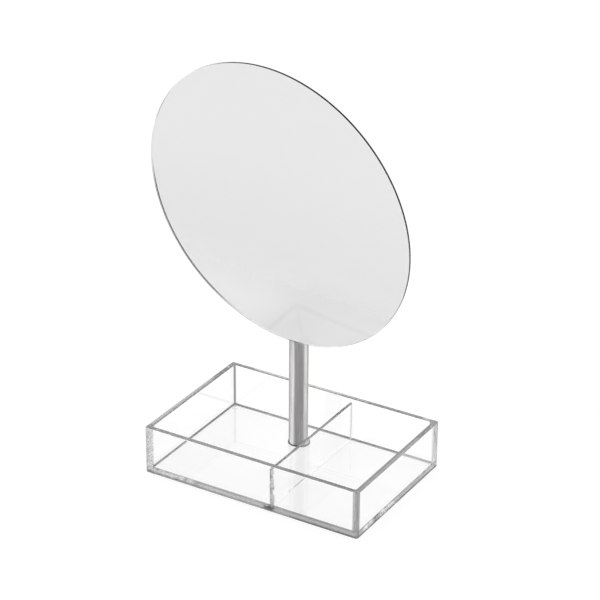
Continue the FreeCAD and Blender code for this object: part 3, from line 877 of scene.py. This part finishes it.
@dataclass(frozen=True)
class FloatGlass(Clear):
    """Clear float glass with polished faces. Its rim is finely ground and sealed dark, paler on the left as
    painted light; a stretch of its arris carries painted shade.

    Shares are of the mirror's width, from its left.
    """

    label: str = "float_glass"
    refraction: float = 1.52
    tint: Colour = (0.77, 0.80, 0.79, 1.0)
    density: float = 3.0
    sealer: Colour = grey(0.02)
    sealer_painted_light: Colour = grey(0.10)
    sealer_shares: Span = (0.30, 0.62)
    rim_facing: float = 0.5
    arris_facing: float = 0.9
    arris_tone: float = 0.85
    ground_pitch: float = 1200.0
    haze: float = 0.2
    spread: float = 0.2
    sheen: Colour = grey(0.12)

    def inputs(self, graph: Graph) -> dict[str, object]:
        """Rough only on the rim; dark on the rim, paler to the left as painted light; painted shade on a
        stretch of the arris.

        Args:
            graph: The material's tree.

        Returns:
            Values and links, by the socket's name.
        """
        facing = abs(graph.facing(MirrorHead.forward()))
        on_rim = 1.0 - facing.above(self.rim_facing)
        low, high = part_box("mirror_glass")
        across, _, height = graph.place(Coordinates.OBJECT)
        shade_stretch = MirrorHead.shade_stretch((height - low.z) / (high.z - low.z))
        # Painted shade on a stretch of the arris.
        arris_shade = (1.0 - facing.above(self.arris_facing)) * shade_stretch * self.arris_tone
        # Painted light: the dark rim sealer is paler towards the left.
        aside = ((across - low.x) / (high.x - low.x)).ramp(*self.sealer_shares)
        sealed = graph.mix(aside, self.sealer_painted_light, self.sealer)
        ground = graph.noise(self.ground_pitch)
        return {
            "Base Color": graph.mix(on_rim.most(arris_shade), WHITE, sealed),
            "Roughness": on_rim * (self.haze + ground * self.spread),
            "Specular Tint": self.sheen,
            "IOR": self.refraction,
            "Transmission Weight": 1.0,
        }


TRAY_ACRYLIC = TrayAcrylic()
DIVIDER_ACRYLIC = DividerAcrylic()
BUMPER = ClearBumper()
CEMENT = Cement()
STEEL = BrushedSteel()
SATIN = SatinMetal()
PLATED = PlatedSteel()
NYLON = DarkNylon()
PLATE = MouldedPlate()
FOAM = FoamTape()
SILVER = Silvering()
GLASS = FloatGlass()


# ---------------------------------------------------------------- helpers for pieces
def dress(obj: bpy.types.Object, finish: Finish) -> None:
    """Give a piece one finish all over.

    Args:
        obj: The piece.
        finish: Its finish.
    """
    if obj.data.materials:
        obj.data.materials[0] = finish.material()
    else:
        obj.data.materials.append(finish.material())


def dress_nodes(body: Body, finishes: dict[str, Finish]) -> None:
    """Give CAD nodes their finishes and report each.

    Args:
        body: The body that carries them.
        finishes: The finish of each node, by the node's name.
    """
    for name, finish in finishes.items():
        dress(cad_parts[name], finish)
        LOG.info("%s: %s, on %s", name, finish.label, body.value)


def seat(obj: bpy.types.Object, body: Body, replaced: tuple[str, ...] = ()) -> None:
    """Ride a new piece on its body and report it.

    Args:
        obj: The finished piece.
        body: The body that carries it.
        replaced: The CAD nodes that it stands for.
    """
    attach(obj, body.value)
    if replaced:
        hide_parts(*replaced)
    LOG.info("%s: %d faces, on %s", obj.name, len(obj.data.polygons), body.value)


def add_object(name: str, data: bpy.types.Mesh | bpy.types.Camera) -> bpy.types.Object:
    """Put a new object in the scene.

    Args:
        name: Its name.
        data: Its mesh or camera.

    Returns:
        The object.
    """
    made = bpy.data.objects.new(name, data)
    bpy.context.scene.collection.objects.link(made)
    return made


def settle(obj: bpy.types.Object) -> bpy.types.Object:
    """Turn an object's modifiers into a plain mesh.

    Args:
        obj: The object.

    Returns:
        The same object, without modifiers.
    """
    graph = bpy.context.evaluated_depsgraph_get()
    mesh = bpy.data.meshes.new_from_object(obj.evaluated_get(graph))
    obj.modifiers.clear()
    obj.data = mesh
    return obj


def even_normals(obj: bpy.types.Object, sharp_angle: float) -> bpy.types.Object:
    """Shade smooth, with flat faces kept flat beside their rounded edges.

    Args:
        obj: The piece.
        sharp_angle: Edges that turn more than this, in degrees, stay sharp.

    Returns:
        The same piece, its normals set.
    """
    obj.data.shade_smooth()
    obj.data.set_sharp_from_angle(angle=math.radians(sharp_angle))
    weigh = obj.modifiers.new("weigh", "WEIGHTED_NORMAL")
    weigh.keep_sharp = True
    weigh.weight = FLAT_WEIGHT
    return settle(obj)


# ---------------------------------------------------------------- geometry node trees
class Recipe:
    """A Geometry Nodes tree with named inputs, run once on an empty mesh and made plain."""

    def __init__(self, name: str) -> None:
        """Starts the tree with its output.

        Args:
            name: The tree's name.
        """
        self.tree = bpy.data.node_groups.new(name, "GeometryNodeTree")
        self.graph = Graph(self.tree)
        self.tree.interface.new_socket("Geometry", in_out="OUTPUT", socket_type="NodeSocketGeometry")
        self.defaults: dict[str, object] = {}

    def take(self, sizes: dict[str, tuple[str, object]]) -> dict[str, bpy.types.NodeSocket]:
        """Args:
            sizes: Name to (socket type, value).

        Returns:
            Name to the socket that carries the input inside the tree.
        """
        for name, (kind, value) in sizes.items():
            self.tree.interface.new_socket(name, in_out="INPUT", socket_type=kind)
            self.defaults[name] = value
        start = self.graph.node("NodeGroupInput")
        return {name: start.outputs[name] for name in sizes}

    def close(self, geometry: bpy.types.NodeSocket, finish: Finish) -> None:
        """End the tree in Realize Instances and Set Material.

        Args:
            geometry: What the tree has made.
            finish: The finish of all of it.
        """
        real = self.graph.node("GeometryNodeRealizeInstances", None, {0: geometry})
        inputs = {"Geometry": real.outputs[0], "Material": finish.material()}
        dressed = self.graph.node("GeometryNodeSetMaterial", None, inputs)
        self.graph.node("NodeGroupOutput", None, {0: dressed.outputs[0]})

    def run(self, name: str) -> bpy.types.Object:
        """Run the tree and keep its result as a plain mesh.

        Args:
            name: The new piece's name.

        Returns:
            The piece.
        """
        obj = add_object(name, bpy.data.meshes.new(name))
        modifier = obj.modifiers.new("recipe", "NODES")
        modifier.node_group = self.tree
        for item in self.tree.interface.items_tree:
            if item.in_out == "INPUT":
                modifier[item.identifier] = self.defaults[item.name]
        return settle(obj)


# ---------------------------------------------------------------- tray
@dataclass(frozen=True)
class CementJoint:
    """A joint of the divider: its middle line, the radii of a full blot of cement, and the blots' seed."""

    name: str
    start: Vector
    end: Vector
    blot: Triple
    seed: int


@dataclass
class Tray:
    """Clear tray, its divider, bumper feet and the cement in the divider's joints."""

    wall: float = 5.5 * MM
    floor_thick: float = 4.5 * MM
    outer_corner: float = 2.5 * MM
    inner_corner: float = 1.8 * MM
    floor_round: float = 1.5 * MM
    rim_round: float = 1.0 * MM
    underside_round: float = 0.6 * MM
    screw_hole: float = 3.3 * MM
    counterbore: float = 6.5 * MM
    counterbore_depth: float = 2.0 * MM
    air_film: float = 0.02 * MM
    corner_steps: int = 10
    round_steps: int = 5
    circle_steps: int = 48
    shell_sharp: float = 50.0
    foot_radius: float = 4.0 * MM
    foot_inset: float = 6.0 * MM
    foot_gap: float = 0.02 * MM
    foot_fullness: float = 0.55
    foot_segments: int = 40
    foot_rings: int = 32
    foot_sharp: float = 60.0
    cement_film: float = 0.012 * MM
    front_blot: Triple = (3.0 * MM, cement_film, 2.6 * MM)
    back_blot: Triple = (1.0 * MM, cement_film, 1.5 * MM)
    floor_blot: Triple = (1.0 * MM, 1.8 * MM, cement_film)
    squeeze: float = 1.0 * MM
    blot_spacing: float = 2.6 * MM
    blot_stray: float = 0.3
    blot_least: float = 0.35
    blot_rounds: int = 3

    def __post_init__(self) -> None:
        """Takes the tray's and the post's places from the frame."""
        self.low, self.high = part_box("tray_shell")
        self.middle = (self.low + self.high) / 2
        self.half = (self.high - self.low) / 2
        tube_low, tube_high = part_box("post_tube")
        self.post = (tube_low + tube_high) / 2

    def _loop(self, inset: float, corner: float, height: float) -> list[Vector]:
        """Points of a rounded rectangle.

        Args:
            inset: How far it lies inside the tray's outline.
            corner: Its corner radius.
            height: Its z.

        Returns:
            The points, counterclockwise seen from above.
        """
        points = []
        for quarter, (right, back) in enumerate([(1, 1), (-1, 1), (-1, -1), (1, -1)]):
            centre_x = self.middle.x + right * (self.half.x - inset - corner)
            centre_y = self.middle.y + back * (self.half.y - inset - corner)
            for step in range(self.corner_steps + 1):
                angle = (quarter + step / self.corner_steps) * math.pi / 2
                points.append(Vector((centre_x + corner * math.cos(angle),
                                      centre_y + corner * math.sin(angle), height)))
        return points

    def _profile(self) -> list[Triple]:
        """The wall's section, from the underside up, over the rim and down to the floor.

        Returns:
            Each point's inset, its loop's corner radius and its height.
        """
        bottom, top = self.low.z, self.high.z
        floor = bottom + self.floor_thick - self.air_film
        turns = [step / self.round_steps * math.pi / 2 for step in range(self.round_steps + 1)]
        bends = [(1 - math.sin(turn), 1 - math.cos(turn)) for turn in turns]
        under, rim, foot = self.underside_round, self.rim_round, self.floor_round
        underside = [(under * falls, self.outer_corner - under * falls, bottom + under * rises)
                     for falls, rises in bends]
        outer_rim = [(rim * rises, self.outer_corner - rim * rises, top - rim * falls)
                     for falls, rises in bends]
        inner_rim = [(self.wall - rim * falls, self.inner_corner + rim * falls, top - rim * rises)
                     for falls, rises in bends]
        inner_foot = [(self.wall + foot * rises, self.inner_corner - foot * rises, floor + foot * falls)
                      for falls, rises in bends]
        return underside + outer_rim + inner_rim + inner_foot

    def _circle(self, radius: float, height: float) -> list[Vector]:
        """Points of a circle about the post's axis.

        Args:
            radius: The circle's radius.
            height: Its z.

        Returns:
            The points, counterclockwise seen from above.
        """
        turns = [2 * math.pi * step / self.circle_steps for step in range(self.circle_steps)]
        return [Vector((self.post.x + radius * math.cos(turn), self.post.y + radius * math.sin(turn), height))
                for turn in turns]

    def _bridge(self, mesh: bmesh.types.BMesh, loops: list[list[bmesh.types.BMVert]]) -> None:
        """Quads between each loop and the next.

        Args:
            mesh: The mesh that gets them.
            loops: Loops of equally many vertices.
        """
        for lower, upper in zip(loops, loops[1:]):
            count = len(lower)
            for i in range(count):
                following = (i + 1) % count
                mesh.faces.new((lower[i], lower[following], upper[following], upper[i]))

    def _annulus(self, mesh: bmesh.types.BMesh, outer: list[bmesh.types.BMVert],
                 inner: list[bmesh.types.BMVert]) -> None:
        """A flat face between an outline and a round hole in it.

        Args:
            mesh: The mesh that gets it.
            outer: The outline's vertices, in order.
            inner: The hole's.
        """
        edges = []
        for loop in (outer, inner):
            for i, vertex in enumerate(loop):
                pair = (vertex, loop[(i + 1) % len(loop)])
                edges.append(mesh.edges.get(pair) or mesh.edges.new(pair))
        bmesh.ops.triangle_fill(mesh, edges=edges, use_beauty=True)

    def _shell(self) -> None:
        """The moulded tray with its rounded rim, counterbore and screw hole."""
        mesh = bmesh.new()
        walls = [[mesh.verts.new(point) for point in self._loop(*ring)] for ring in self._profile()]
        self._bridge(mesh, walls)
        bottom = self.low.z
        floor = bottom + self.floor_thick - self.air_film
        shoulder = bottom + self.counterbore_depth
        rings = ((self.counterbore, bottom), (self.counterbore, shoulder),
                 (self.screw_hole, shoulder), (self.screw_hole, floor))
        bore = [[mesh.verts.new(point) for point in self._circle(*ring)] for ring in rings]
        self._bridge(mesh, bore)
        self._annulus(mesh, walls[0], bore[0])
        self._annulus(mesh, walls[-1], bore[-1])
        bmesh.ops.recalc_face_normals(mesh, faces=mesh.faces)
        data = bpy.data.meshes.new("tray_shell_clear")
        mesh.to_mesh(data)
        mesh.free()
        shell = even_normals(add_object("tray_shell_clear", data), self.shell_sharp)
        dress(shell, TRAY_ACRYLIC)
        seat(shell, Body.STAND, ("tray_shell",))

    def _feet(self) -> None:
        """Four bumpers under the tray's corners, full below and flat on top."""
        recipe = Recipe("bumper_feet")
        size = recipe.take({
            "Length": ("NodeSocketFloat", 2 * (self.half.x - self.foot_inset)),
            "Depth": ("NodeSocketFloat", 2 * (self.half.y - self.foot_inset)),
            "Radius": ("NodeSocketFloat", self.foot_radius),
            "Height": ("NodeSocketFloat", self.low.z - self.foot_gap),
            "Fullness": ("NodeSocketFloat", self.foot_fullness),
        })
        graph = recipe.graph
        ball = graph.node("GeometryNodeMeshUVSphere", None,
                          {"Segments": self.foot_segments, "Rings": self.foot_rings, "Radius": 1.0})
        position = graph.node("GeometryNodeInputPosition").outputs[0]
        split = graph.node("ShaderNodeSeparateXYZ", None, {0: position})
        x, y, z = (Value(graph, out) for out in split.outputs)
        radius, height, fullness = (Value(graph, size[name]) for name in ("Radius", "Height", "Fullness"))
        spread = (x * x + y * y).root().most(TINY)
        wide = radius * spread ** fullness / spread
        drop = abs(z.least(0.0)) ** fullness
        shaped = graph.node("ShaderNodeCombineXYZ", None,
                            {0: x * wide, 1: y * wide, 2: height - height * drop})
        foot = graph.node("GeometryNodeSetPosition", None,
                          {"Geometry": ball.outputs["Mesh"], "Position": shaped.outputs[0]})
        corners = graph.node("GeometryNodeMeshGrid", None,
                             {"Size X": size["Length"], "Size Y": size["Depth"],
                              "Vertices X": 2, "Vertices Y": 2})
        moved = graph.node("GeometryNodeTransform", None,
                           {"Geometry": corners.outputs["Mesh"],
                            "Translation": (self.middle.x, self.middle.y, 0.0)})
        copies = graph.node("GeometryNodeInstanceOnPoints", None,
                            {"Points": moved.outputs[0], "Instance": foot.outputs[0]})
        recipe.close(copies.outputs[0], BUMPER)
        feet = even_normals(recipe.run("bumper_feet_clear"), self.foot_sharp)
        seat(feet, Body.STAND, ("bumper_feet",))

    def _cement(self) -> None:
        """Thin blots of cement in the divider's front, back and floor joints."""
        low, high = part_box("tray_divider")
        middle = (low + high) / 2
        aside = middle.x + self.squeeze
        front = (self.low.y + self.wall + low.y) / 2
        back = (self.high.y - self.wall + high.y) / 2
        under = (self.low.z + self.floor_thick + low.z) / 2
        joints = (
            CementJoint("cement_front", Vector((aside, front, low.z)), Vector((aside, front, high.z)),
                        self.front_blot, seed=3),
            CementJoint("cement_back", Vector((middle.x, back, low.z)), Vector((middle.x, back, high.z)),
                        self.back_blot, seed=5),
            CementJoint("cement_floor", Vector((middle.x, low.y, under)), Vector((middle.x, high.y, under)),
                        self.floor_blot, seed=8),
        )
        half_thick = (high.x - low.x) / 2
        for joint in joints:
            self._blots(joint, half_thick * self.blot_stray)

    def _blots(self, joint: CementJoint, stray: float) -> None:
        """One joint's row of flattened blots.

        Args:
            joint: The joint.
            stray: How far a blot may lie to either side of the joint's middle line.
        """
        recipe = Recipe(joint.name)
        length = (joint.end - joint.start).length
        size = recipe.take({
            "Start": ("NodeSocketVector", joint.start),
            "End": ("NodeSocketVector", joint.end),
            "Count": ("NodeSocketInt", int(length / self.blot_spacing)),
            "Blot": ("NodeSocketVector", Vector(joint.blot)),
            "Stray": ("NodeSocketFloat", stray),
            "Seed": ("NodeSocketInt", joint.seed),
        })
        graph = recipe.graph
        line = graph.node("GeometryNodeMeshLine", {"mode": "END_POINTS"},
                          {"Count": size["Count"], "Start Location": size["Start"], "Offset": size["End"]})
        reach = Value(graph, size["Stray"])
        low = graph.node("ShaderNodeCombineXYZ", None, {0: reach * -1.0})
        high = graph.node("ShaderNodeCombineXYZ", None, {0: reach})
        aside = graph.node("FunctionNodeRandomValue", {"data_type": "FLOAT_VECTOR"},
                           {0: low.outputs[0], 1: high.outputs[0], "Seed": size["Seed"]})
        moved = graph.node("GeometryNodeSetPosition", None,
                           {"Geometry": line.outputs[0], "Offset": aside.outputs[0]})
        ball = graph.node("GeometryNodeMeshIcoSphere", None,
                          {"Radius": 1.0, "Subdivisions": self.blot_rounds})
        grown = graph.node("FunctionNodeRandomValue", {"data_type": "FLOAT"},
                           {2: self.blot_least, 3: 1.0, "Seed": size["Seed"]})
        scaled = graph.node("ShaderNodeVectorMath", {"operation": "SCALE"},
                            {0: size["Blot"], "Scale": grown.outputs[1]})
        copies = graph.node("GeometryNodeInstanceOnPoints", None,
                            {"Points": moved.outputs[0], "Instance": ball.outputs[0],
                             "Scale": scaled.outputs[0]})
        recipe.close(copies.outputs[0], CEMENT)
        blots = recipe.run(joint.name)
        blots.data.shade_smooth()
        seat(blots, Body.STAND)

    def build(self) -> None:
        """Make the tray's pieces and dress its divider."""
        self._shell()
        dress_nodes(Body.STAND, {"tray_divider": DIVIDER_ACRYLIC})
        self._feet()
        self._cement()


# ---------------------------------------------------------------- post, swivel and tilt
@dataclass
class Post:
    """Steel post, the bush in its top and what fastens it to the tray."""

    body: Body = Body.STAND

    def build(self) -> None:
        """Dress the post's pieces."""
        dress_nodes(self.body, {
            "post_tube": STEEL,
            "post_gasket": NYLON,
            "head_bush": NYLON,
            "thrust_washer": NYLON,
            "tube_plug": PLATED,
            "base_washer": PLATED,
            "base_screw": PLATED,
        })


@dataclass
class SwivelHead:
    """Slotted yoke that turns on the post, with the tilt bolt through it."""

    body: Body = Body.HEAD

    def build(self) -> None:
        """Dress the head's pieces."""
        dress_nodes(self.body, {
            "swivel_yoke": SATIN,
            "friction_washers": NYLON,
            "spindle_spring": PLATED,
            "spindle_washer": PLATED,
            "spindle_nut": PLATED,
            "tilt_bolt": PLATED,
            "tilt_spring": PLATED,
            "tilt_nut": PLATED,
        })


@dataclass
class MirrorHead:
    """Round glass on its plate and bracket. A stretch of its edge's height carries painted shade."""

    body: Body = Body.MIRROR
    shade_from: Span = (0.03, 0.12)
    shade_to: Span = (0.42, 0.56)

    @staticmethod
    def forward() -> Vector:
        """The way the glass faces at rest.

        Returns:
            The normal of its widest face that looks forward.
        """
        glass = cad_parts["mirror_glass"].data
        widest = max(glass.polygons, key=lambda face: face.area * (face.normal.y < 0))
        return widest.normal.copy()

    @classmethod
    def shade_stretch(cls, share: Value) -> Value:
        """1 where a share of the mirror's height lies in the stretch of painted edge shade, fading at both
        ends.
        """
        return share.ramp(*cls.shade_from) * (1.0 - share.ramp(*cls.shade_to))

    def build(self) -> None:
        """Dress the mirror's pieces."""
        dress_nodes(self.body, {
            "mirror_bracket": SATIN,
            "bracket_screws": PLATED,
            "back_plate": PLATE,
            "adhesive_pad": FOAM,
            "mirror_silvering": SILVER,
            "mirror_glass": GLASS,
        })


# ---------------------------------------------------------------- studio
@dataclass(frozen=True)
class StudioFloor(Finish):
    """Pale floor that shows white where nothing shades it, keeps soft shadows, and has a painted shadow under
    the tray.
    """

    label: str = "studio_floor"
    glow: float = 0.90
    shown: float = 0.18
    bounce: float = 0.80
    contact: float = 0.12
    contact_fade: float = 8.0 * MM
    contact_rim: float = 3.4 * MM
    contact_round: float = 8.0 * MM

    def surface(self, graph: Graph) -> bpy.types.NodeSocket:
        """A glowing look for rays that show the floor, a plain diffuse one for its light.

        Args:
            graph: The material's tree.

        Returns:
            The mixed shader.
        """
        path = graph.node("ShaderNodeLightPath")
        direct = Value(graph, path.outputs["Is Camera Ray"])
        seen = direct.most(Value(graph, path.outputs["Is Glossy Ray"]))
        seen = seen.most(Value(graph, path.outputs["Is Transmission Ray"]))
        plain = graph.node("ShaderNodeBsdfDiffuse", None, {"Color": grey(self.bounce)})
        pale = graph.node("ShaderNodeBsdfDiffuse", None, {"Color": grey(self.shown)})
        glow = graph.node("ShaderNodeEmission", None, {"Color": WHITE, "Strength": self.glow})
        bright = graph.node("ShaderNodeAddShader", None, {0: pale.outputs[0], 1: glow.outputs[0]})
        # Painted shadow: a dim glow in place of the floor's look under the tray's edges, for camera rays.
        dim = graph.node("ShaderNodeEmission", None, {"Color": WHITE, "Strength": self.contact})
        look = graph.node("ShaderNodeMixShader", None,
                          {0: direct * self._under_tray(graph), 1: bright.outputs[0], 2: dim.outputs[0]})
        mixed = graph.node("ShaderNodeMixShader", None, {0: seen, 1: plain.outputs[0], 2: look.outputs[0]})
        return mixed.outputs[0]

    def _under_tray(self, graph: Graph) -> Value:
        """Where the tray stands close above the floor and keeps the light out.

        Args:
            graph: The material's tree.

        Returns:
            1 under the tray, fading to nothing towards its outline.
        """
        low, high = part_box("tray_shell")
        across, deep, _ = graph.place(Coordinates.OBJECT)
        middle = (low + high) / 2
        half = (high - low) / 2
        past_x = (abs(across - middle.x) - (half.x - self.contact_round)).most(0.0)
        past_y = (abs(deep - middle.y) - (half.y - self.contact_round)).most(0.0)
        outside = (past_x * past_x + past_y * past_y).root() - self.contact_round
        return 1.0 - outside.ramp(-self.contact_fade, -self.contact_rim)


@dataclass
class Studio:
    """Floor, surrounding light and camera.

    The light round the horizon is given by spans of the cosine between a ray and the way to the camera:
    1 towards the camera, -1 away from it.
    """

    floor_reach: float = 60.0
    camera_place: Triple = (1.03254, -1.6883, 1.1635)
    azimuth: float = 30.74
    elevation: float = 26.43
    roll: float = 0.42
    focal_pixels: float = 2353.0
    image_pixels: float = 600.0
    sensor: float = 36.0
    camera_reach: float = 200.0
    backdrop: float = 1.0
    backdrop_edge: Span = (-0.92, -0.85)
    gap: float = 0.35
    gap_rear: Span = (-0.85, -0.80)
    gap_front: Span = (-0.55, -0.50)
    strips: float = 2.9
    strips_rear: Span = (-0.45, -0.20)
    strips_front: Span = (0.25, 0.50)
    left_wider: float = 0.20
    dark: float = 0.18
    white_until: Span = (0.50, 0.60)
    ceiling: float = 0.25
    ceiling_edge: Span = (0.75, 0.90)
    bounces: int = 64

    def _floor(self) -> None:
        """A wide plane on the table's height."""
        reach = self.floor_reach
        mesh = bpy.data.meshes.new("floor")
        corners = [(-reach, -reach, 0.0), (reach, -reach, 0.0), (reach, reach, 0.0), (-reach, reach, 0.0)]
        mesh.from_pydata(corners, [], [(0, 1, 2, 3)])
        made = add_object("floor", mesh)
        dress(made, StudioFloor())

    def _horizon(self, x: Value, y: Value) -> tuple[Value, Value]:
        """The light round the horizon: backdrop, a gap, a bright strip on either hand, dark in front.

        Args:
            x: The ray's direction along X.
            y: Its direction along Y.

        Returns:
            The light's strength, and the cosine between the ray and the way to the camera.
        """
        to_camera = self._sight() * -1.0
        level = Vector((to_camera.x, to_camera.y, 0.0)).normalized()
        facing = (x * level.x + y * level.y) / (x * x + y * y).root().most(TINY)
        on_left = 1.0 - (x * -level.y + y * level.x).above(0.0)
        strip_end = (facing - on_left * self.left_wider).ramp(*self.strips_front)
        strip = facing.ramp(*self.strips_rear) * (1.0 - strip_end)
        behind = 1.0 - facing.ramp(*self.backdrop_edge)
        between = facing.ramp(*self.gap_rear) * (1.0 - facing.ramp(*self.gap_front))
        light = self.dark + strip * (self.strips - self.dark) + behind * (self.backdrop - self.dark)
        return light + between * self.gap, facing

    def _surroundings(self) -> None:
        """The world: light round the horizon, dim overhead.

        Rays that show the world itself, straight on, in the mirror or through the tray, find it white.
        """
        world = bpy.data.worlds.new("studio")
        bpy.context.scene.world = world
        world.use_nodes = True
        graph = Graph(world.node_tree)
        x, y, z = graph.place(Coordinates.DIRECTION)
        light, facing = self._horizon(x, y)
        overhead = z.ramp(*self.ceiling_edge)
        light = light + overhead * (self.ceiling - light)
        path = graph.node("ShaderNodeLightPath")
        shown = Value(graph, path.outputs["Is Camera Ray"])
        shown = shown.most(Value(graph, path.outputs["Is Singular Ray"]))
        through = Value(graph, path.outputs["Is Transmission Ray"]) * (1.0 - facing.ramp(*self.white_until))
        light = light + shown * (self.backdrop - light)
        light = light.most(through * (1.0 - overhead) * self.backdrop)
        background = graph.node("ShaderNodeBackground", None, {"Color": WHITE, "Strength": light})
        graph.node("ShaderNodeOutputWorld", None, {"Surface": background.outputs[0]})

    def _sight(self) -> Vector:
        """The camera's viewing direction."""
        azimuth, elevation = math.radians(self.azimuth), math.radians(self.elevation)
        return Vector((-math.sin(azimuth) * math.cos(elevation),
                       math.cos(azimuth) * math.cos(elevation), -math.sin(elevation)))

    def _camera(self) -> None:
        """The camera at its place, turned by its azimuth, elevation and roll."""
        ahead = self._sight()
        right = ahead.cross(Vector((0.0, 0.0, 1.0))).normalized()
        up = right.cross(ahead)
        turn = math.radians(self.roll)
        across = right * math.cos(turn) + up * math.sin(turn)
        upward = up * math.cos(turn) - right * math.sin(turn)
        data = bpy.data.cameras.new("camera")
        data.sensor_width = self.sensor
        data.lens = self.sensor * self.focal_pixels / self.image_pixels
        data.clip_end = self.camera_reach
        made = add_object("camera", data)
        axes = Matrix((across, upward, -ahead)).transposed().to_4x4()
        made.matrix_world = Matrix.Translation(self.camera_place) @ axes
        bpy.context.scene.camera = made

    def build(self) -> None:
        """Set the stage."""
        scene = bpy.context.scene
        scene.view_settings.view_transform = "Standard"
        scene.cycles.max_bounces = self.bounces
        scene.cycles.transmission_bounces = self.bounces
        scene.cycles.glossy_bounces = self.bounces
        self._floor()
        self._surroundings()
        self._camera()
        LOG.info("studio: floor, light and camera")


def main() -> None:
    """Build the sub-assemblies in order."""
    logging.basicConfig(level=logging.INFO, format="%(message)s")
    for part in (Studio(), Tray(), Post(), SwivelHead(), MirrorHead()):
        part.build()


if __name__ == "__main__":
    main()
